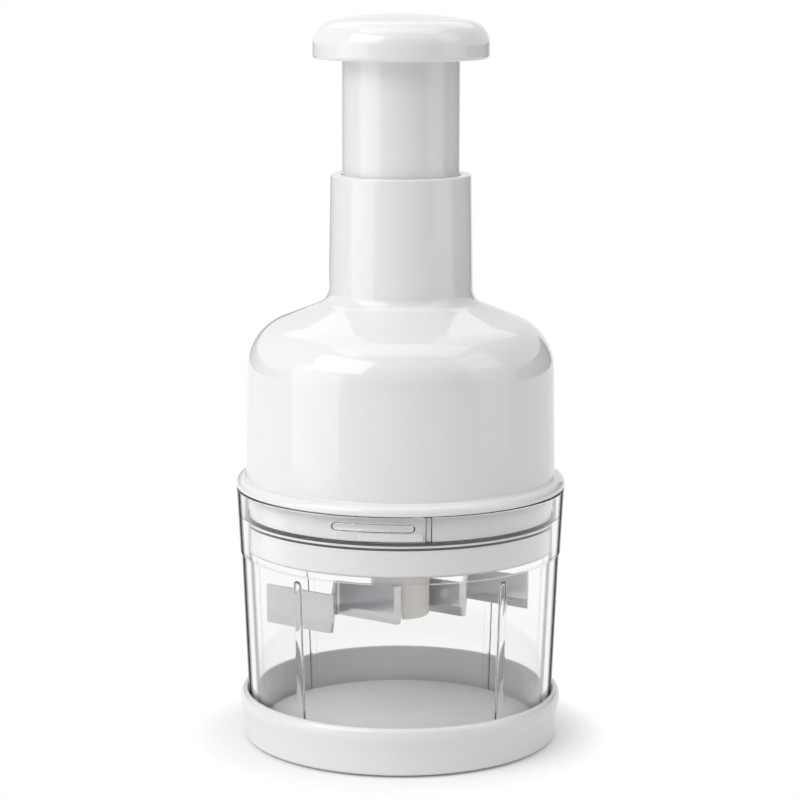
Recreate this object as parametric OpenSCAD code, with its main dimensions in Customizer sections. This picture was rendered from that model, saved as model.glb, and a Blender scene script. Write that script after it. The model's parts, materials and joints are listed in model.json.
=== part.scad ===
// Press-down food chopper. A sprung plunger pushes a zigzag blade through a clear bowl,
// and a twisted spindle turns the blade a step at each stroke.
// Millimetres, +Z up. The origin is on the table, under the middle of the base.

/* [Base] */
// Wall of the base cap's lip round the bowl
base_lip_wall = 2.2; // [1.4:0.1:3]
// How much the base cap's radius shrinks from its lip to its bottom edge
base_taper = 1.5; // [0.9:0.1:1.6]
// Height of the base cap
base_h = 14.6; // [12:0.2:24]
// Thickness of the base cap's floor
base_floor = 2.4; // [1.8:0.1:4]
// Height of the flared lip of the base cap
base_lip_h = 7.4; // [3:0.2:8]
// Thickness of the cutting board
board_t = 2; // [1.2:0.1:4]
// Distance from the base cap's bottom edge in to the foot ring
foot_inset = 5.5; // [3:0.5:16]
// Width of the foot ring
foot_w = 5; // [3:0.5:8]
// How far the foot ring stands out below the base cap
foot_proud = 0.6; // [0.3:0.1:1.2]
// How far the foot ring sits in its groove
foot_sunk = 1.2; // [0.6:0.1:1.4]

/* [Bowl] */
// Height of the bowl
bowl_h = 75.6; // [68:0.2:90]
// Outside diameter of the bowl at its top rim
bowl_d = 100.2; // [88:0.2:114]
// How much the bowl's radius shrinks from the collar to the foot
bowl_taper = 2.3; // [1.5:0.05:4]
// How much the collar's radius shrinks from the rim to its lower edge
collar_taper = 1; // [0.5:0.1:1.5]
// How far the collar stands out past the wall below it
bowl_step = 0.4; // [0.1:0.05:0.6]
// Height of the collar
collar_h = 20; // [18.6:0.2:24]
// Wall of the bowl below the collar
bowl_wall = 2.4; // [1.8:0.1:3]
// Wall of the collar at the rim
collar_wall = 2.7; // [2.2:0.1:3.2]
// Radius of the upright ribs inside the bowl
rib_r = 1.5; // [0.8:0.1:2]
// How far the middle line of a rib is sunk into the wall
rib_sunk = 0.5; // [0.2:0.1:0.8]
// How far a rib ends below the collar
rib_drop = 1.8; // [0.5:0.1:4]
// Angle of each rib from the front or the back
rib_angle = 40; // [25:1:65]

/* [Bayonet] */
// Number of lugs on each half
lug_count = 3; // [2:1:4]
// How far a lug stands out
lug_h = 1.2; // [0.8:0.1:1.4]
// Height of a bowl lug
bowl_lug_t = 2.4; // [2:0.1:3.2]
// Angle that a bowl lug covers
bowl_lug_span = 29.8; // [20:0.2:34]
// Angle of the middle of the front bowl lug
bowl_lug_angle = -9.8; // [-30:0.2:30]
// Height of a housing lug
housing_lug_t = 2.5; // [1.8:0.1:3]
// Angle that a housing lug covers
housing_lug_span = 23; // [14:1:24]
// Angle that a stop rib covers
stop_span = 1.8; // [1:0.2:3]

/* [Housing] */
// Height of the flange
flange_h = 3.7; // [2.6:0.1:7]
// Radius of the hollow where the bell leaves the flange
cove_r = 0.6; // [0.3:0.1:1]
// How far the flange stands out past the bell
flange_w = 3.1; // [2.4:0.1:4]
// How much the bell's radius shrinks from the flange to the shoulder
bell_draft = 0.6; // [0.2:0.1:2]
// Height from the flange's underside to the start of the shoulder
bell_h = 34.9; // [31:0.1:46]
// Radius of the round edge of the shoulder
shoulder_r = 18; // [9:0.5:20]
// Slope of the shoulder in degrees
shoulder_slope = 17; // [13:1:30]
// Wall of the neck at its rim
neck_wall = 3.15; // [2.4:0.05:4]
// How much the neck's radius grows from its rim to its foot
neck_draft = 0.6; // [0.2:0.1:1.2]
// Radius of the fillet between neck and shoulder
neck_fillet_r = 4; // [2:0.5:7]
// Height of the straight part of the neck
neck_h = 36; // [28:0.2:44]
// Wall of the bell
housing_wall = 2.4; // [1.8:0.1:3]
// Depth of the spigot below the flange
spigot_h = 8.2; // [7.8:0.1:10]
// Number of fins on the guide ring
fin_count = 4; // [3:1:6]
// Thickness of a guide fin
fin_t = 1.8; // [1.2:0.1:2.6]

/* [Guard cup] */
// Height of the cup's outside wall
guard_h = 8.3; // [7:0.1:9.4]
// Thickness of the cup's floor
guard_floor = 2.5; // [1.8:0.1:3]
// Wall of the cup
guard_wall = 2.4; // [2:0.1:3]
// How far the cup's ring reaches up into the spigot
guard_ring_h = 7.6; // [6.6:0.1:8]
// Height of the bowl seal
bowl_seal_t = 2.1; // [1:0.1:2.6]
// Height of the wiper ring round the post
post_seal_t = 2.4; // [1.6:0.1:3]
// Height of the bosses under the drive tower
boss_h = 8; // [7:0.5:9]
// Gap between the drive tower and the heads of its screws
boss_gap = 2.8; // [1:0.1:8]

/* [Plunger] */
// Diameter of the plunger tube
tube_d = 35.3; // [34:0.1:36]
// Wall of the plunger tube
tube_wall = 2.2; // [1.8:0.1:2.6]
// Room left between knob and neck at the end of the stroke
knob_room = 2.8; // [1:0.1:6]
// Thickness of the stop flange at the foot of the tube
stop_t = 3; // [2:0.2:4]
// Thickness of the web that carries the swivel
web_t = 4; // [3:0.2:6]
// Depth of the web's top below the knob's underside
web_depth = 4.8; // [4.6:0.1:12]
// Thickness of the flange under the knob cap
head_t = 2; // [1.4:0.1:3]

/* [Knob] */
// Diameter of the knob
knob_d = 53; // [46:0.5:60]
// Height of the knob
knob_h = 13; // [12:0.2:18]
// Width of the knob's round upper edge
knob_edge_w = 7.5; // [4:0.5:10]
// Height of the knob's round upper edge
knob_edge_h = 8.4; // [4:0.2:9.2]
// How far the knob's top domes up inside that edge
knob_dome = 1.2; // [0.4:0.1:2]
// Wall of the knob
knob_wall = 2.3; // [1.8:0.1:3]

/* [Drive] */
// Diameter of the blade post
post_d = 18; // [16:0.2:19]
// Width of the twisted square bar
bar_w = 6.6; // [5.6:0.1:7]
// Turn of the blade in one stroke
blade_turn = 45; // [30:1:60]
// Length of the spindle's shank inside the post
shank_len = 24; // [16:1:34]
// Diameter of the shank
shank_d = 8.8; // [8:0.1:10]
// Diameter of the journal in the swivel bush
journal_d = 6; // [5:0.1:7]
// Wall of the swivel bush
bush_wall = 2; // [1.2:0.1:2.4]
// Thickness of the swivel bush's flange
bush_flange_t = 1.2; // [0.8:0.1:1.6]
// Thickness of the swivel washer
swivel_washer_t = 1.2; // [0.8:0.1:1.4]
// Room between the drive tower and the plunger tube that comes down round it
tower_room = 2.05; // [0.8:0.05:2.6]
// Thickness of the tower's flange and of its top web
tower_web_t = 3; // [2:0.2:4]
// Height of the ratchet nut
nut_t = 6.5; // [5:0.1:8]
// Number of ratchet teeth
tooth_count = 16; // [12:1:20]
// Height of a ratchet tooth
tooth_h = 1.1; // [0.8:0.1:1.2]
// Thickness of the thrust washer
thrust_t = 1; // [0.8:0.1:1.6]

/* [Spring] */
// Diameter of the spring wire
wire_d = 1.5; // [1:0.1:1.8]
// Number of open turns
spring_turns = 9; // [7:1:11]

/* [Blade] */
// Gap between the raised blade and the guard cup
blade_park = 10.6; // [6:0.2:16]
// Height of the blade strip
blade_h = 12; // [9:0.5:14]
// Thickness of the blade strip
blade_t = 0.8; // [0.5:0.1:1.2]
// Height of the ground bevel along the cutting edge
bevel_h = 3; // [1:0.5:5]
// Thickness left at the cutting edge
edge_t = 0.15; // [0.1:0.05:0.3]
// How far the zigzag swings to each side
zigzag_w = 11; // [10:0.5:13]
// Diameter of the cross pins
pin_d = 3; // [2:0.1:3.4]

/* [Screws] */
// Diameter of a screw's shank
screw_d = 2.6; // [2:0.1:3]
// Diameter of a screw's head
screw_head_d = 5.6; // [4.6:0.1:6]
// Height of a screw's head
screw_head_t = 2; // [1.4:0.1:2.4]
// Length of a screw below its head
screw_len = 9; // [8:0.5:10]

/* [Clearances] */
// Gap between pieces that slide past each other
slide_gap = 0.4; // [0.3:0.05:0.5]
// Gap between pieces that are pushed together
push_gap = 0.1; // [0.05:0.01:0.15]
// Running clearance of a shaft or a pin, on the radius
run_gap = 0.05; // [0.02:0.01:0.09]
// Gap between faces that nearly touch
face_gap = 0.3; // [0.2:0.05:0.4]

/* [Hidden] */
$fn = 96;

white = "#f1f1ef";
off_white = "#e6e3db";
clear = [0.86, 0.92, 0.94, 0.35];
steel = "#b9bcc0";
grey_rubber = "#5b5d60";

// Steps along a round stretch of an outline
arc_steps = 8;
// How far a feature is sunk into the wall that carries it
root = 0.5;
// A small round or bevel on an edge
edge_r = 0.6;
// Height of one step along the twisted bar
twist_step = 2;

// Heights of the base
cap_z = foot_proud;
floor_z = cap_z + base_floor;
base_top_z = cap_z + base_h;
board_z = floor_z + board_t;

// Heights of the bowl
bowl_top_z = floor_z + bowl_h;
collar_z = bowl_top_z - collar_h;
flange_z = bowl_top_z + face_gap;
spigot_z = flange_z - spigot_h;
ledge_z = spigot_z - push_gap;
housing_lug_z = spigot_z + slide_gap;
bowl_lug_z = housing_lug_z + housing_lug_t + face_gap;

// Radii of the bowl and of what enters it
bowl_top_r = bowl_d / 2;
collar_foot_r = bowl_top_r - collar_taper;
bowl_mid_r = collar_foot_r - bowl_step;
bowl_foot_r = bowl_mid_r - bowl_taper;
collar_in_r = bowl_top_r - collar_wall;
lug_in_r = collar_in_r - lug_h;
spigot_r = lug_in_r - face_gap;
seat_r = spigot_r + slide_gap;
chamber_foot_r = bowl_foot_r - bowl_wall;
chamber_top_r = bowl_mid_r - bowl_wall;
board_r = chamber_foot_r - (rib_r - rib_sunk) - slide_gap;

// Radius of the bowl's outside at a height below the collar
function bowl_r(z) = bowl_foot_r + (bowl_mid_r - bowl_foot_r) * (z - floor_z) / (collar_z - floor_z);

// Radii of the base
base_lip_r = bowl_r(base_top_z) + face_gap + base_lip_wall;
base_foot_r = base_lip_r - base_taper;
foot_r = base_foot_r - foot_inset;
foot_in_r = foot_r - foot_w;

// Plunger tube and the bore it slides in
tube_r = tube_d / 2;
tube_in_r = tube_r - tube_wall;
neck_bore_r = tube_r + slide_gap;

// Flange, shoulder and neck of the housing
flange_out = 0.2;
flange_r = bowl_top_r + flange_out;
bell_top_z = flange_z + bell_h;
bell_foot_r = flange_r - flange_w;
bell_top_r = bell_foot_r - bell_draft;
neck_top_r = neck_bore_r + neck_wall;
neck_foot_r = neck_top_r + neck_draft;
shoulder_end = 90 - shoulder_slope;
shoulder_in_r = bell_top_r - shoulder_r;
// Height of the shoulder's slope at a radius, for a surface that lies inset from the outside
function slope_z(r, inset) =
    bell_top_z + (shoulder_r - inset) * sin(shoulder_end)
    + (shoulder_in_r + (shoulder_r - inset) * cos(shoulder_end) - r) * tan(shoulder_slope);
fillet_r = neck_foot_r + neck_fillet_r;
fillet_z = slope_z(fillet_r - neck_fillet_r * sin(shoulder_slope), 0)
    + neck_fillet_r * cos(shoulder_slope);
neck_top_z = fillet_z + neck_h;

// Guard cup
skirt_top_z = spigot_z - bowl_seal_t - face_gap;
guard_z = skirt_top_z - guard_h;
guard_top_z = guard_z + guard_floor;
spigot_in_r = spigot_r - housing_wall;
guard_ring_wall = 1.8;
ring_r = spigot_in_r - slide_gap / 2;
ring_in_r = ring_r - guard_ring_wall;
ring_top_z = spigot_z + guard_ring_h;
bead_h = 1.2;
bead_out = 0.6;
bead_drop = 0.8;
bead_z = ring_top_z - bead_drop - bead_h;

// Blade, raised and down on the board
blade_top_z = guard_z - blade_park;
blade_z = blade_top_z - blade_h;
stroke = blade_z - slide_gap - board_z;
turn_rate = blade_turn / stroke;
blade_proud = 0.8;
blade_margin = 1.5;
post_z = blade_z + blade_proud;
blade_reach = board_r - blade_margin;

// Zigzag: as many straight stretches as fit, an odd number, with the post clear of the next stretch
post_r = post_d / 2;
post_room = post_r + blade_t / 2 + face_gap;
least_step = post_room * zigzag_w / sqrt(zigzag_w * zigzag_w - post_room * post_room / 4);
zigzag_len = 2 * sqrt(blade_reach * blade_reach - zigzag_w * zigzag_w);
zigzag_count = 2 * floor((zigzag_len / least_step - 1) / 2) + 1;
zigzag_step = zigzag_len / zigzag_count;
zigzag_lean = atan2(2 * zigzag_w, zigzag_step);

// Plunger
fin_turn = 45;
fin_room = 1.2;
fin_grip = 1.8;
stop_margin = 1.4;
fin_margin = 2;
fin_in_r = tube_r + fin_room;
stop_r = fin_in_r + fin_grip;
stop_seat_r = stop_r + stop_margin;
stop_z = slope_z(stop_seat_r, housing_wall);
tube_z = stop_z - stop_t;
fin_z = tube_z - stroke - fin_margin;
head_z = neck_top_z + stroke + knob_room;
web_top_z = head_z - web_depth;
web_z = web_top_z - web_t;

// Knob
knob_r = knob_d / 2;
knob_top_z = head_z + knob_h;
knob_in_r = knob_r - knob_wall;
head_r = knob_in_r - push_gap;

// Drive tower
tower_in_r = post_r + slide_gap;
tower_r = tube_in_r - tower_room;
tower_foot_wall = 2.2;
tower_foot_r = tower_in_r + tower_foot_wall;
seal_seat_r = tower_foot_r + push_gap;
seal_top_z = guard_top_z + post_seal_t;
tower_foot_z = seal_top_z + push_gap;
tower_flange_z = guard_top_z + boss_h;
tower_flange_top_z = tower_flange_z + tower_web_t;
boss_count = 3;
boss_turn = 30;
boss_wall = 2.2;
boss_r = screw_d / 2 + boss_wall;
boss_circle_r = tower_r + boss_gap + screw_head_d / 2;
tower_flange_r = boss_circle_r + boss_r;
nut_z = tube_z - thrust_t - nut_t;
tower_web_z = nut_z - tower_web_t;
bar_room = 1.2;
bar_hole_r = bar_w * sqrt(2) / 2 + bar_room;

// Ratchet, from the pocket wall inwards
pocket_wall = 1.5;
pawl_band_w = 1.1;
pawl_arm_w = 0.6;
pawl_span = 60;
nut_proud = 0.5;
key_w = 3;
pocket_r = tower_r - pocket_wall;
pawl_ring_r = pocket_r - push_gap;
pawl_band_r = pawl_ring_r - pawl_band_w;
pawl_out_r = pawl_band_r - slide_gap;
pawl_in_r = pawl_out_r - pawl_arm_w;
nut_r = pawl_in_r - face_gap;
nut_root_r = nut_r - tooth_h;
tooth_step = 360 / tooth_count;
pawl_t = nut_t - nut_proud;

// Spindle and swivel
post_top_z = tower_web_z - 2 * face_gap;
bush_z = web_z - bush_flange_t;
collar_top_z = bush_z - face_gap;
collar_t = 2;
bar_top_z = collar_top_z - collar_t;
journal_r = journal_d / 2;
bush_in_r = journal_r + run_gap;
bush_r = bush_in_r + bush_wall;
bush_proud = 0.6;
bush_lip = 1.9;
pilot_wall = 1;
bush_top_z = web_top_z + bush_proud;
journal_top_z = bush_top_z + face_gap;
swivel_r = bush_r + bush_lip;
pilot_in_r = swivel_r + slide_gap;
pilot_r = pilot_in_r + pilot_wall;
shank_r = shank_d / 2;
shank_z = post_top_z - shank_len;
spindle_pin_z = post_top_z - shank_len / 2;

// Cross pins
pin_r = pin_d / 2;
pin_len = 2 * sqrt(post_r * post_r - pin_r * pin_r) - 2 * push_gap;
pin_margin = 0.9;
pin_step = 4.6;
blade_pin_z = [for (i = [0, 1]) blade_top_z - pin_margin - pin_r - i * pin_step];

// Spring
spring_z = tube_z;
spring_len = web_z - spring_z;
wire_sides = 6;
turn_steps = 8;
// The flats between the steps of a turn stay clear of the pilot
spring_r = (pilot_r + face_gap) / cos(180 / turn_steps) + wire_d / 2;
end_gap = 0.6;
end_pitch = wire_d + end_gap;
all_turns = spring_turns + 2;
open_pitch = (spring_len - wire_d - 2 * end_pitch) / spring_turns;
// Height of the wire's middle after a number of turns: one close turn at each end
function wire_z(turns) =
    spring_z + wire_d / 2 + end_pitch * (min(turns, 1) + max(turns - all_turns + 1, 0))
    + open_pitch * min(max(turns - 1, 0), spring_turns);
spring_line = [for (i = [0 : all_turns * turn_steps])
    [spring_r * cos(360 * i / turn_steps), spring_r * sin(360 * i / turn_steps), wire_z(i / turn_steps)]];
spring_gap = min([for (i = [0 : len(spring_line) - 1])
    for (j = [i + turn_steps / 2 : len(spring_line) - 1]) norm(spring_line[i] - spring_line[j])]) - wire_d;
echo(least_gap_between_spring_turns = spring_gap);

// Points on a round stretch of an outline
function arc(x, y, rx, ry, from, to) =
    [for (i = [0 : arc_steps]) let (a = from + (to - from) * i / arc_steps)
        [x + rx * cos(a), y + ry * sin(a)]];

// Turns what faces +X to an angle counted from the front towards the right
module facing(angle) {
    rotate(angle - 90) children();
}

module ring(r_out, r_in, z, h) {
    rotate_extrude() translate([r_in, z]) square([r_out - r_in, h]);
}

// Part of a ring, centred on an angle counted from the front
module ring_piece(r_out, r_in, z, h, angle, span) {
    facing(angle - span / 2)
        rotate_extrude(angle = span) translate([r_in, z]) square([r_out - r_in, h]);
}

// Bar across the axis along X
module cross_bar(r, length, z) {
    translate([-length / 2, 0, z]) rotate([0, 90, 0]) cylinder(r = r, h = length);
}

// Square bar that twists as it rises, straight with the axes at the foot of the nut
module twisted_bar(width, z, h) {
    translate([0, 0, z]) rotate(turn_rate * (nut_z - z))
        linear_extrude(height = h, twist = turn_rate * h, slices = ceil(h / twist_step), segments = 4)
            square(width, center = true);
}

// Slotted pan-head screw, head up, with its seat at z
module screw(z) {
    slot_w = 0.8;
    slot_depth = screw_head_t / 2;
    difference() {
        translate([0, 0, z]) rotate_extrude() polygon(concat(
            [[0, -screw_len], [screw_d / 2 - edge_r, -screw_len], [screw_d / 2, edge_r - screw_len],
             [screw_d / 2, 0], [screw_head_d / 2, 0]],
            arc(screw_head_d / 2 - edge_r, screw_head_t - edge_r, edge_r, edge_r, 0, 90),
            [[0, screw_head_t]]));
        translate([-screw_head_d, -slot_w / 2, z + screw_head_t - slot_depth])
            cube([2 * screw_head_d, slot_w, 2 * slot_depth]);
    }
}

module base_cap() {
    corner_r = 1.2;
    lip_land = 2.6;
    flare_w = 0.65 * base_taper;
    groove_in_r = foot_in_r - run_gap;
    groove_r = foot_r + run_gap;
    wall_top_r = base_lip_r - flare_w;
    lip_z = base_top_z - base_lip_h;
    inner_foot_r = bowl_r(floor_z) + face_gap;
    inner_top_r = bowl_r(base_top_z) + face_gap;
    color(white) rotate_extrude() polygon(concat(
        [[0, cap_z], [groove_in_r, cap_z], [groove_in_r, cap_z + foot_sunk],
         [groove_r, cap_z + foot_sunk], [groove_r, cap_z]],
        arc(base_foot_r - corner_r, cap_z + corner_r, corner_r, corner_r, -90, 0),
        [[wall_top_r, lip_z], [base_lip_r, base_top_z - lip_land]],
        arc(base_lip_r - corner_r, base_top_z - corner_r, corner_r, corner_r, 0, 90),
        [[inner_top_r, base_top_z], [inner_foot_r, floor_z], [0, floor_z]]));
}

module foot_ring() {
    bevel = edge_r / 2;
    top_z = foot_proud + foot_sunk;
    color(grey_rubber) rotate_extrude() polygon([
        [foot_in_r, top_z], [foot_in_r, bevel], [foot_in_r + bevel, 0],
        [foot_r - bevel, 0], [foot_r, bevel], [foot_r, top_z]]);
}

module cutting_board() {
    color(white) rotate_extrude() polygon(concat(
        [[0, floor_z], [board_r, floor_z]],
        arc(board_r - edge_r, board_z - edge_r, edge_r, edge_r, 0, 90),
        [[0, board_z]]));
}

// Upright half-round rib that leans with the wall and ends in a round tip
module bowl_rib() {
    rib_z = floor_z + root;
    tip_z = collar_z - rib_r - rib_drop;
    wall_lean = atan2(chamber_top_r - chamber_foot_r, collar_z - floor_z);
    rib_foot_r = bowl_r(rib_z) - bowl_wall + rib_sunk;
    rib_len = (tip_z - rib_z) / cos(wall_lean);
    translate([rib_foot_r, 0, rib_z]) rotate([0, wall_lean, 0])
        rotate_extrude() polygon(concat([[0, 0], [rib_r, 0]], arc(0, rib_len, rib_r, rib_r, 0, 90)));
}

// Level bayonet lug with round ends, on the inside of the collar
module bowl_lug(angle) {
    end_r = bowl_lug_t / 2;
    end_y = collar_in_r * sin(bowl_lug_span / 2) - end_r;
    intersection() {
        ring(collar_in_r + root, lug_in_r, bowl_lug_z - root, bowl_lug_t + 2 * root);
        facing(angle) translate([0, 0, bowl_lug_z + end_r]) rotate([90, 0, 90])
            linear_extrude(bowl_top_r) polygon(concat(
                arc(end_y, 0, end_r, end_r, -90, 90), arc(-end_y, 0, end_r, end_r, 90, 270)));
    }
}

// Angle of the stop rib beside a bowl lug
stop_lead = 4.8;
function stop_angle(lug_angle) = lug_angle + bowl_lug_span / 2 + stop_lead;

module bowl() {
    rim_r = 0.5;
    stop_in_r = seat_r + push_gap;
    color(clear) {
        rotate_extrude() polygon(concat(
            [[chamber_foot_r, floor_z], [bowl_foot_r, floor_z], [bowl_mid_r, collar_z],
             [collar_foot_r, collar_z]],
            arc(bowl_top_r - rim_r, bowl_top_z - rim_r, rim_r, rim_r, 0, 90),
            arc(collar_in_r + rim_r, bowl_top_z - rim_r, rim_r, rim_r, 90, 180),
            [[collar_in_r, ledge_z], [seat_r, ledge_z], [seat_r, collar_z], [chamber_top_r, collar_z]]));
        for (turn = [0, 180], side = [-1, 1]) facing(turn + side * rib_angle) bowl_rib();
        for (i = [0 : lug_count - 1]) {
            lug_angle = bowl_lug_angle + i * 360 / lug_count;
            bowl_lug(lug_angle);
            ring_piece(collar_in_r + root, stop_in_r, ledge_z - root, bowl_top_z - ledge_z,
                stop_angle(lug_angle), stop_span);
        }
    }
}

// Round edge of the shoulder, inset from the outside
function shoulder(inset) = let (r = shoulder_r - inset)
    arc(shoulder_in_r, bell_top_z, r, r, 0, shoulder_end);

module housing_shell() {
    flange_top_z = flange_z + flange_h;
    flange_edge_w = flange_w - cove_r;
    flange_edge_z = flange_z + edge_r;
    flange_edge_h = flange_top_z - cove_r - flange_edge_z;
    rim_r = 0.6;
    bead_gap = 0.2;
    rotate_extrude() polygon(concat(
        [[spigot_in_r, spigot_z], [spigot_r, spigot_z], [spigot_r, flange_z], [flange_r - edge_r, flange_z]],
        arc(flange_r - flange_edge_w, flange_edge_z, flange_edge_w, flange_edge_h, 0, 90),
        arc(bell_foot_r + cove_r, flange_top_z, cove_r, cove_r, 270, 180),
        shoulder(0),
        arc(fillet_r, fillet_z, neck_fillet_r, neck_fillet_r, 270 - shoulder_slope, 180),
        arc(neck_top_r - rim_r, neck_top_z - rim_r, rim_r, rim_r, 0, 90),
        arc(neck_bore_r + rim_r, neck_top_z - rim_r, rim_r, rim_r, 90, 180),
        [[neck_bore_r, stop_z], [stop_seat_r, stop_z]],
        [for (i = [arc_steps : -1 : 0]) shoulder(housing_wall)[i]],
        [[bell_foot_r - housing_wall, flange_top_z], [spigot_in_r, flange_top_z - 2 * cove_r],
         [spigot_in_r, bead_z + bead_h + bead_gap], [spigot_in_r + bead_out, bead_z + bead_h + bead_gap],
         [spigot_in_r + bead_out, bead_z - bead_gap], [spigot_in_r, bead_z - bead_gap]]));
}

module housing() {
    lug_r = collar_in_r - face_gap;
    lug_rest = 1;
    color(white) {
        housing_shell();
        for (i = [0 : lug_count - 1]) {
            stop = stop_angle(bowl_lug_angle + i * 360 / lug_count);
            ring_piece(lug_r, spigot_r - root, housing_lug_z, housing_lug_t,
                stop - stop_span / 2 - lug_rest - housing_lug_span / 2, housing_lug_span);
        }
    }
}

// Ring pressed into the bell, with upright fins under the shoulder that keep the plunger from turning
module guide_ring() {
    inset = housing_wall + push_gap;
    guide_r = bell_top_r - inset;
    guide_wall = 2.4;
    guide_h = 4;
    fin_top_z = slope_z(stop_seat_r, inset);
    color(white) intersection() {
        rotate_extrude() polygon(concat(
            [[fin_in_r, fin_z], [guide_r, fin_z]],
            shoulder(inset),
            [[stop_seat_r, fin_top_z], [fin_in_r, fin_top_z]]));
        union() {
            ring(bell_top_r, guide_r - guide_wall, fin_z - root, guide_h + root);
            for (i = [0 : fin_count - 1]) rotate(fin_turn + i * 360 / fin_count)
                translate([0, -fin_t / 2, fin_z - root]) cube([bell_top_r, fin_t, stop_z - fin_z + root]);
        }
    }
}

// Runs its children at each tower screw
module each_boss() {
    for (i = [0 : boss_count - 1]) rotate(boss_turn + i * 360 / boss_count)
        translate([boss_circle_r, 0, 0]) children();
}

module guard_cup() {
    corner_r = 1;
    inner_r = spigot_r - guard_wall;
    shelf_t = 2;
    seat_wall = 2;
    seat_hold = 2.5;
    seat_top_z = tower_foot_z + seat_hold;
    color(white) difference() {
        union() {
            rotate_extrude() polygon(concat(
                [[tower_in_r, guard_z]],
                arc(spigot_r - corner_r, guard_z + corner_r, corner_r, corner_r, -90, 0),
                [[spigot_r, skirt_top_z], [ring_r, skirt_top_z], [ring_r, bead_z],
                 [spigot_in_r + bead_out - face_gap / 2, bead_z],
                 [ring_r, bead_z + bead_h], [ring_r, ring_top_z], [ring_in_r, ring_top_z],
                 [ring_in_r, skirt_top_z - shelf_t], [inner_r, skirt_top_z - shelf_t - edge_r],
                 [inner_r, guard_top_z], [seal_seat_r + seat_wall, guard_top_z],
                 [seal_seat_r + seat_wall, seat_top_z], [seal_seat_r, seat_top_z],
                 [seal_seat_r, guard_top_z], [tower_in_r, guard_top_z]]));
            each_boss() translate([0, 0, guard_top_z - root]) cylinder(r = boss_r, h = boss_h + root);
        }
        each_boss() translate([0, 0, guard_top_z + root])
            cylinder(r = screw_d / 2 + run_gap, h = boss_h);
    }
}

module bowl_seal() {
    seal_r = seat_r - slide_gap / 2;
    half = bowl_seal_t / 2;
    color(grey_rubber) rotate_extrude() polygon(concat(
        [[ring_r + push_gap, skirt_top_z], [seal_r - half, skirt_top_z]],
        arc(seal_r - half, skirt_top_z + half, half, half, -90, 90),
        [[ring_r + push_gap, skirt_top_z + bowl_seal_t]]));
}

module post_seal() {
    lip = 0.8;
    seal_in_r = post_r + push_gap;
    color(grey_rubber) rotate_extrude() polygon([
        [seal_in_r, guard_top_z + lip], [seal_in_r + lip, guard_top_z], [seal_seat_r - push_gap, guard_top_z],
        [seal_seat_r - push_gap, seal_top_z], [seal_in_r + lip, seal_top_z], [seal_in_r, seal_top_z - lip]]);
}

module drive_tower() {
    pocket_top_z = nut_z + pawl_t;
    color(off_white) difference() {
        rotate_extrude() polygon([
            [tower_in_r, tower_foot_z], [tower_foot_r, tower_foot_z], [tower_foot_r, tower_flange_z],
            [tower_flange_r, tower_flange_z], [tower_flange_r, tower_flange_top_z],
            [tower_r, tower_flange_top_z], [tower_r, pocket_top_z], [pocket_r, pocket_top_z],
            [pocket_r, nut_z], [bar_hole_r, nut_z], [bar_hole_r, tower_web_z], [tower_in_r, tower_web_z]]);
        each_boss() translate([0, 0, tower_flange_z - root])
            cylinder(r = screw_d / 2 + slide_gap, h = tower_web_t + 2 * root);
        translate([-tower_r - root, -key_w / 2 - push_gap, nut_z])
            cube([2 * (tower_r + root), key_w + 2 * push_gap, nut_t]);
    }
}

module tower_screws() {
    color(steel) each_boss() screw(tower_flange_top_z);
}

// Outline of a band between two radii and two angles
function band(r_out, r_in, from, to) =
    concat(arc(0, 0, r_out, r_out, from, to), arc(0, 0, r_in, r_in, to, from));

function polar(r, angle) = [r * cos(angle), r * sin(angle)];

// Springy arm whose tip stands just before the upright face of a tooth
module pawl(tip) {
    bridge = 9;
    tip_lag = 1.5;
    tip_in_r = nut_root_r + face_gap;
    tip_angle = tip - tip_lag;
    polygon(band(pawl_out_r, pawl_in_r, tip_angle - pawl_span, tip_angle));
    polygon(band(pawl_band_r + root, pawl_in_r, tip_angle - pawl_span, tip_angle - pawl_span + bridge));
    polygon([polar(pawl_out_r, tip_angle), polar(tip_in_r, tip_angle), polar(pawl_in_r, tip_angle - bridge)]);
}

module pawl_ring() {
    key_r = tower_r - push_gap;
    tip_tooth = 4;
    color(off_white) translate([0, 0, nut_z]) linear_extrude(pawl_t) {
        difference() {
            circle(r = pawl_ring_r);
            circle(r = pawl_band_r);
        }
        for (turn = [0, 180]) rotate(turn) {
            translate([pawl_ring_r - root, -key_w / 2]) square([key_r - pawl_ring_r + root, key_w]);
            pawl(tip_tooth * tooth_step);
        }
    }
}

module drive_nut() {
    color(off_white) difference() {
        translate([0, 0, nut_z]) linear_extrude(nut_t) polygon([for (i = [0 : tooth_count - 1])
            each [polar(nut_root_r, i * tooth_step), polar(nut_r, i * tooth_step)]]);
        twisted_bar(bar_w + slide_gap, nut_z - root, nut_t + 2 * root);
    }
}

module thrust_washer() {
    color(steel) ring(spring_r + wire_d, bar_hole_r, nut_z + nut_t, thrust_t);
}

// Points round the wire at one step of the spring
function wire_ring(i) = let (turn = 360 * i / turn_steps, middle = spring_line[i])
    [for (k = [0 : wire_sides - 1]) let (a = 360 * k / wire_sides)
        [middle.x + wire_d / 2 * cos(a) * cos(turn), middle.y + wire_d / 2 * cos(a) * sin(turn),
         middle.z + wire_d / 2 * sin(a)]];

module return_spring() {
    last = len(spring_line) - 1;
    points = [for (i = [0 : last]) each wire_ring(i)];
    sides = [for (i = [0 : last - 1], k = [0 : wire_sides - 1])
        let (a = i * wire_sides + k, b = i * wire_sides + (k + 1) % wire_sides)
        each [[a, b, a + wire_sides], [b, b + wire_sides, a + wire_sides]]];
    ends = [for (k = [1 : wire_sides - 2])
        each [[0, k + 1, k], [last * wire_sides, last * wire_sides + k, last * wire_sides + k + 1]]];
    color(steel) polyhedron(points, concat(sides, ends));
}

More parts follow.
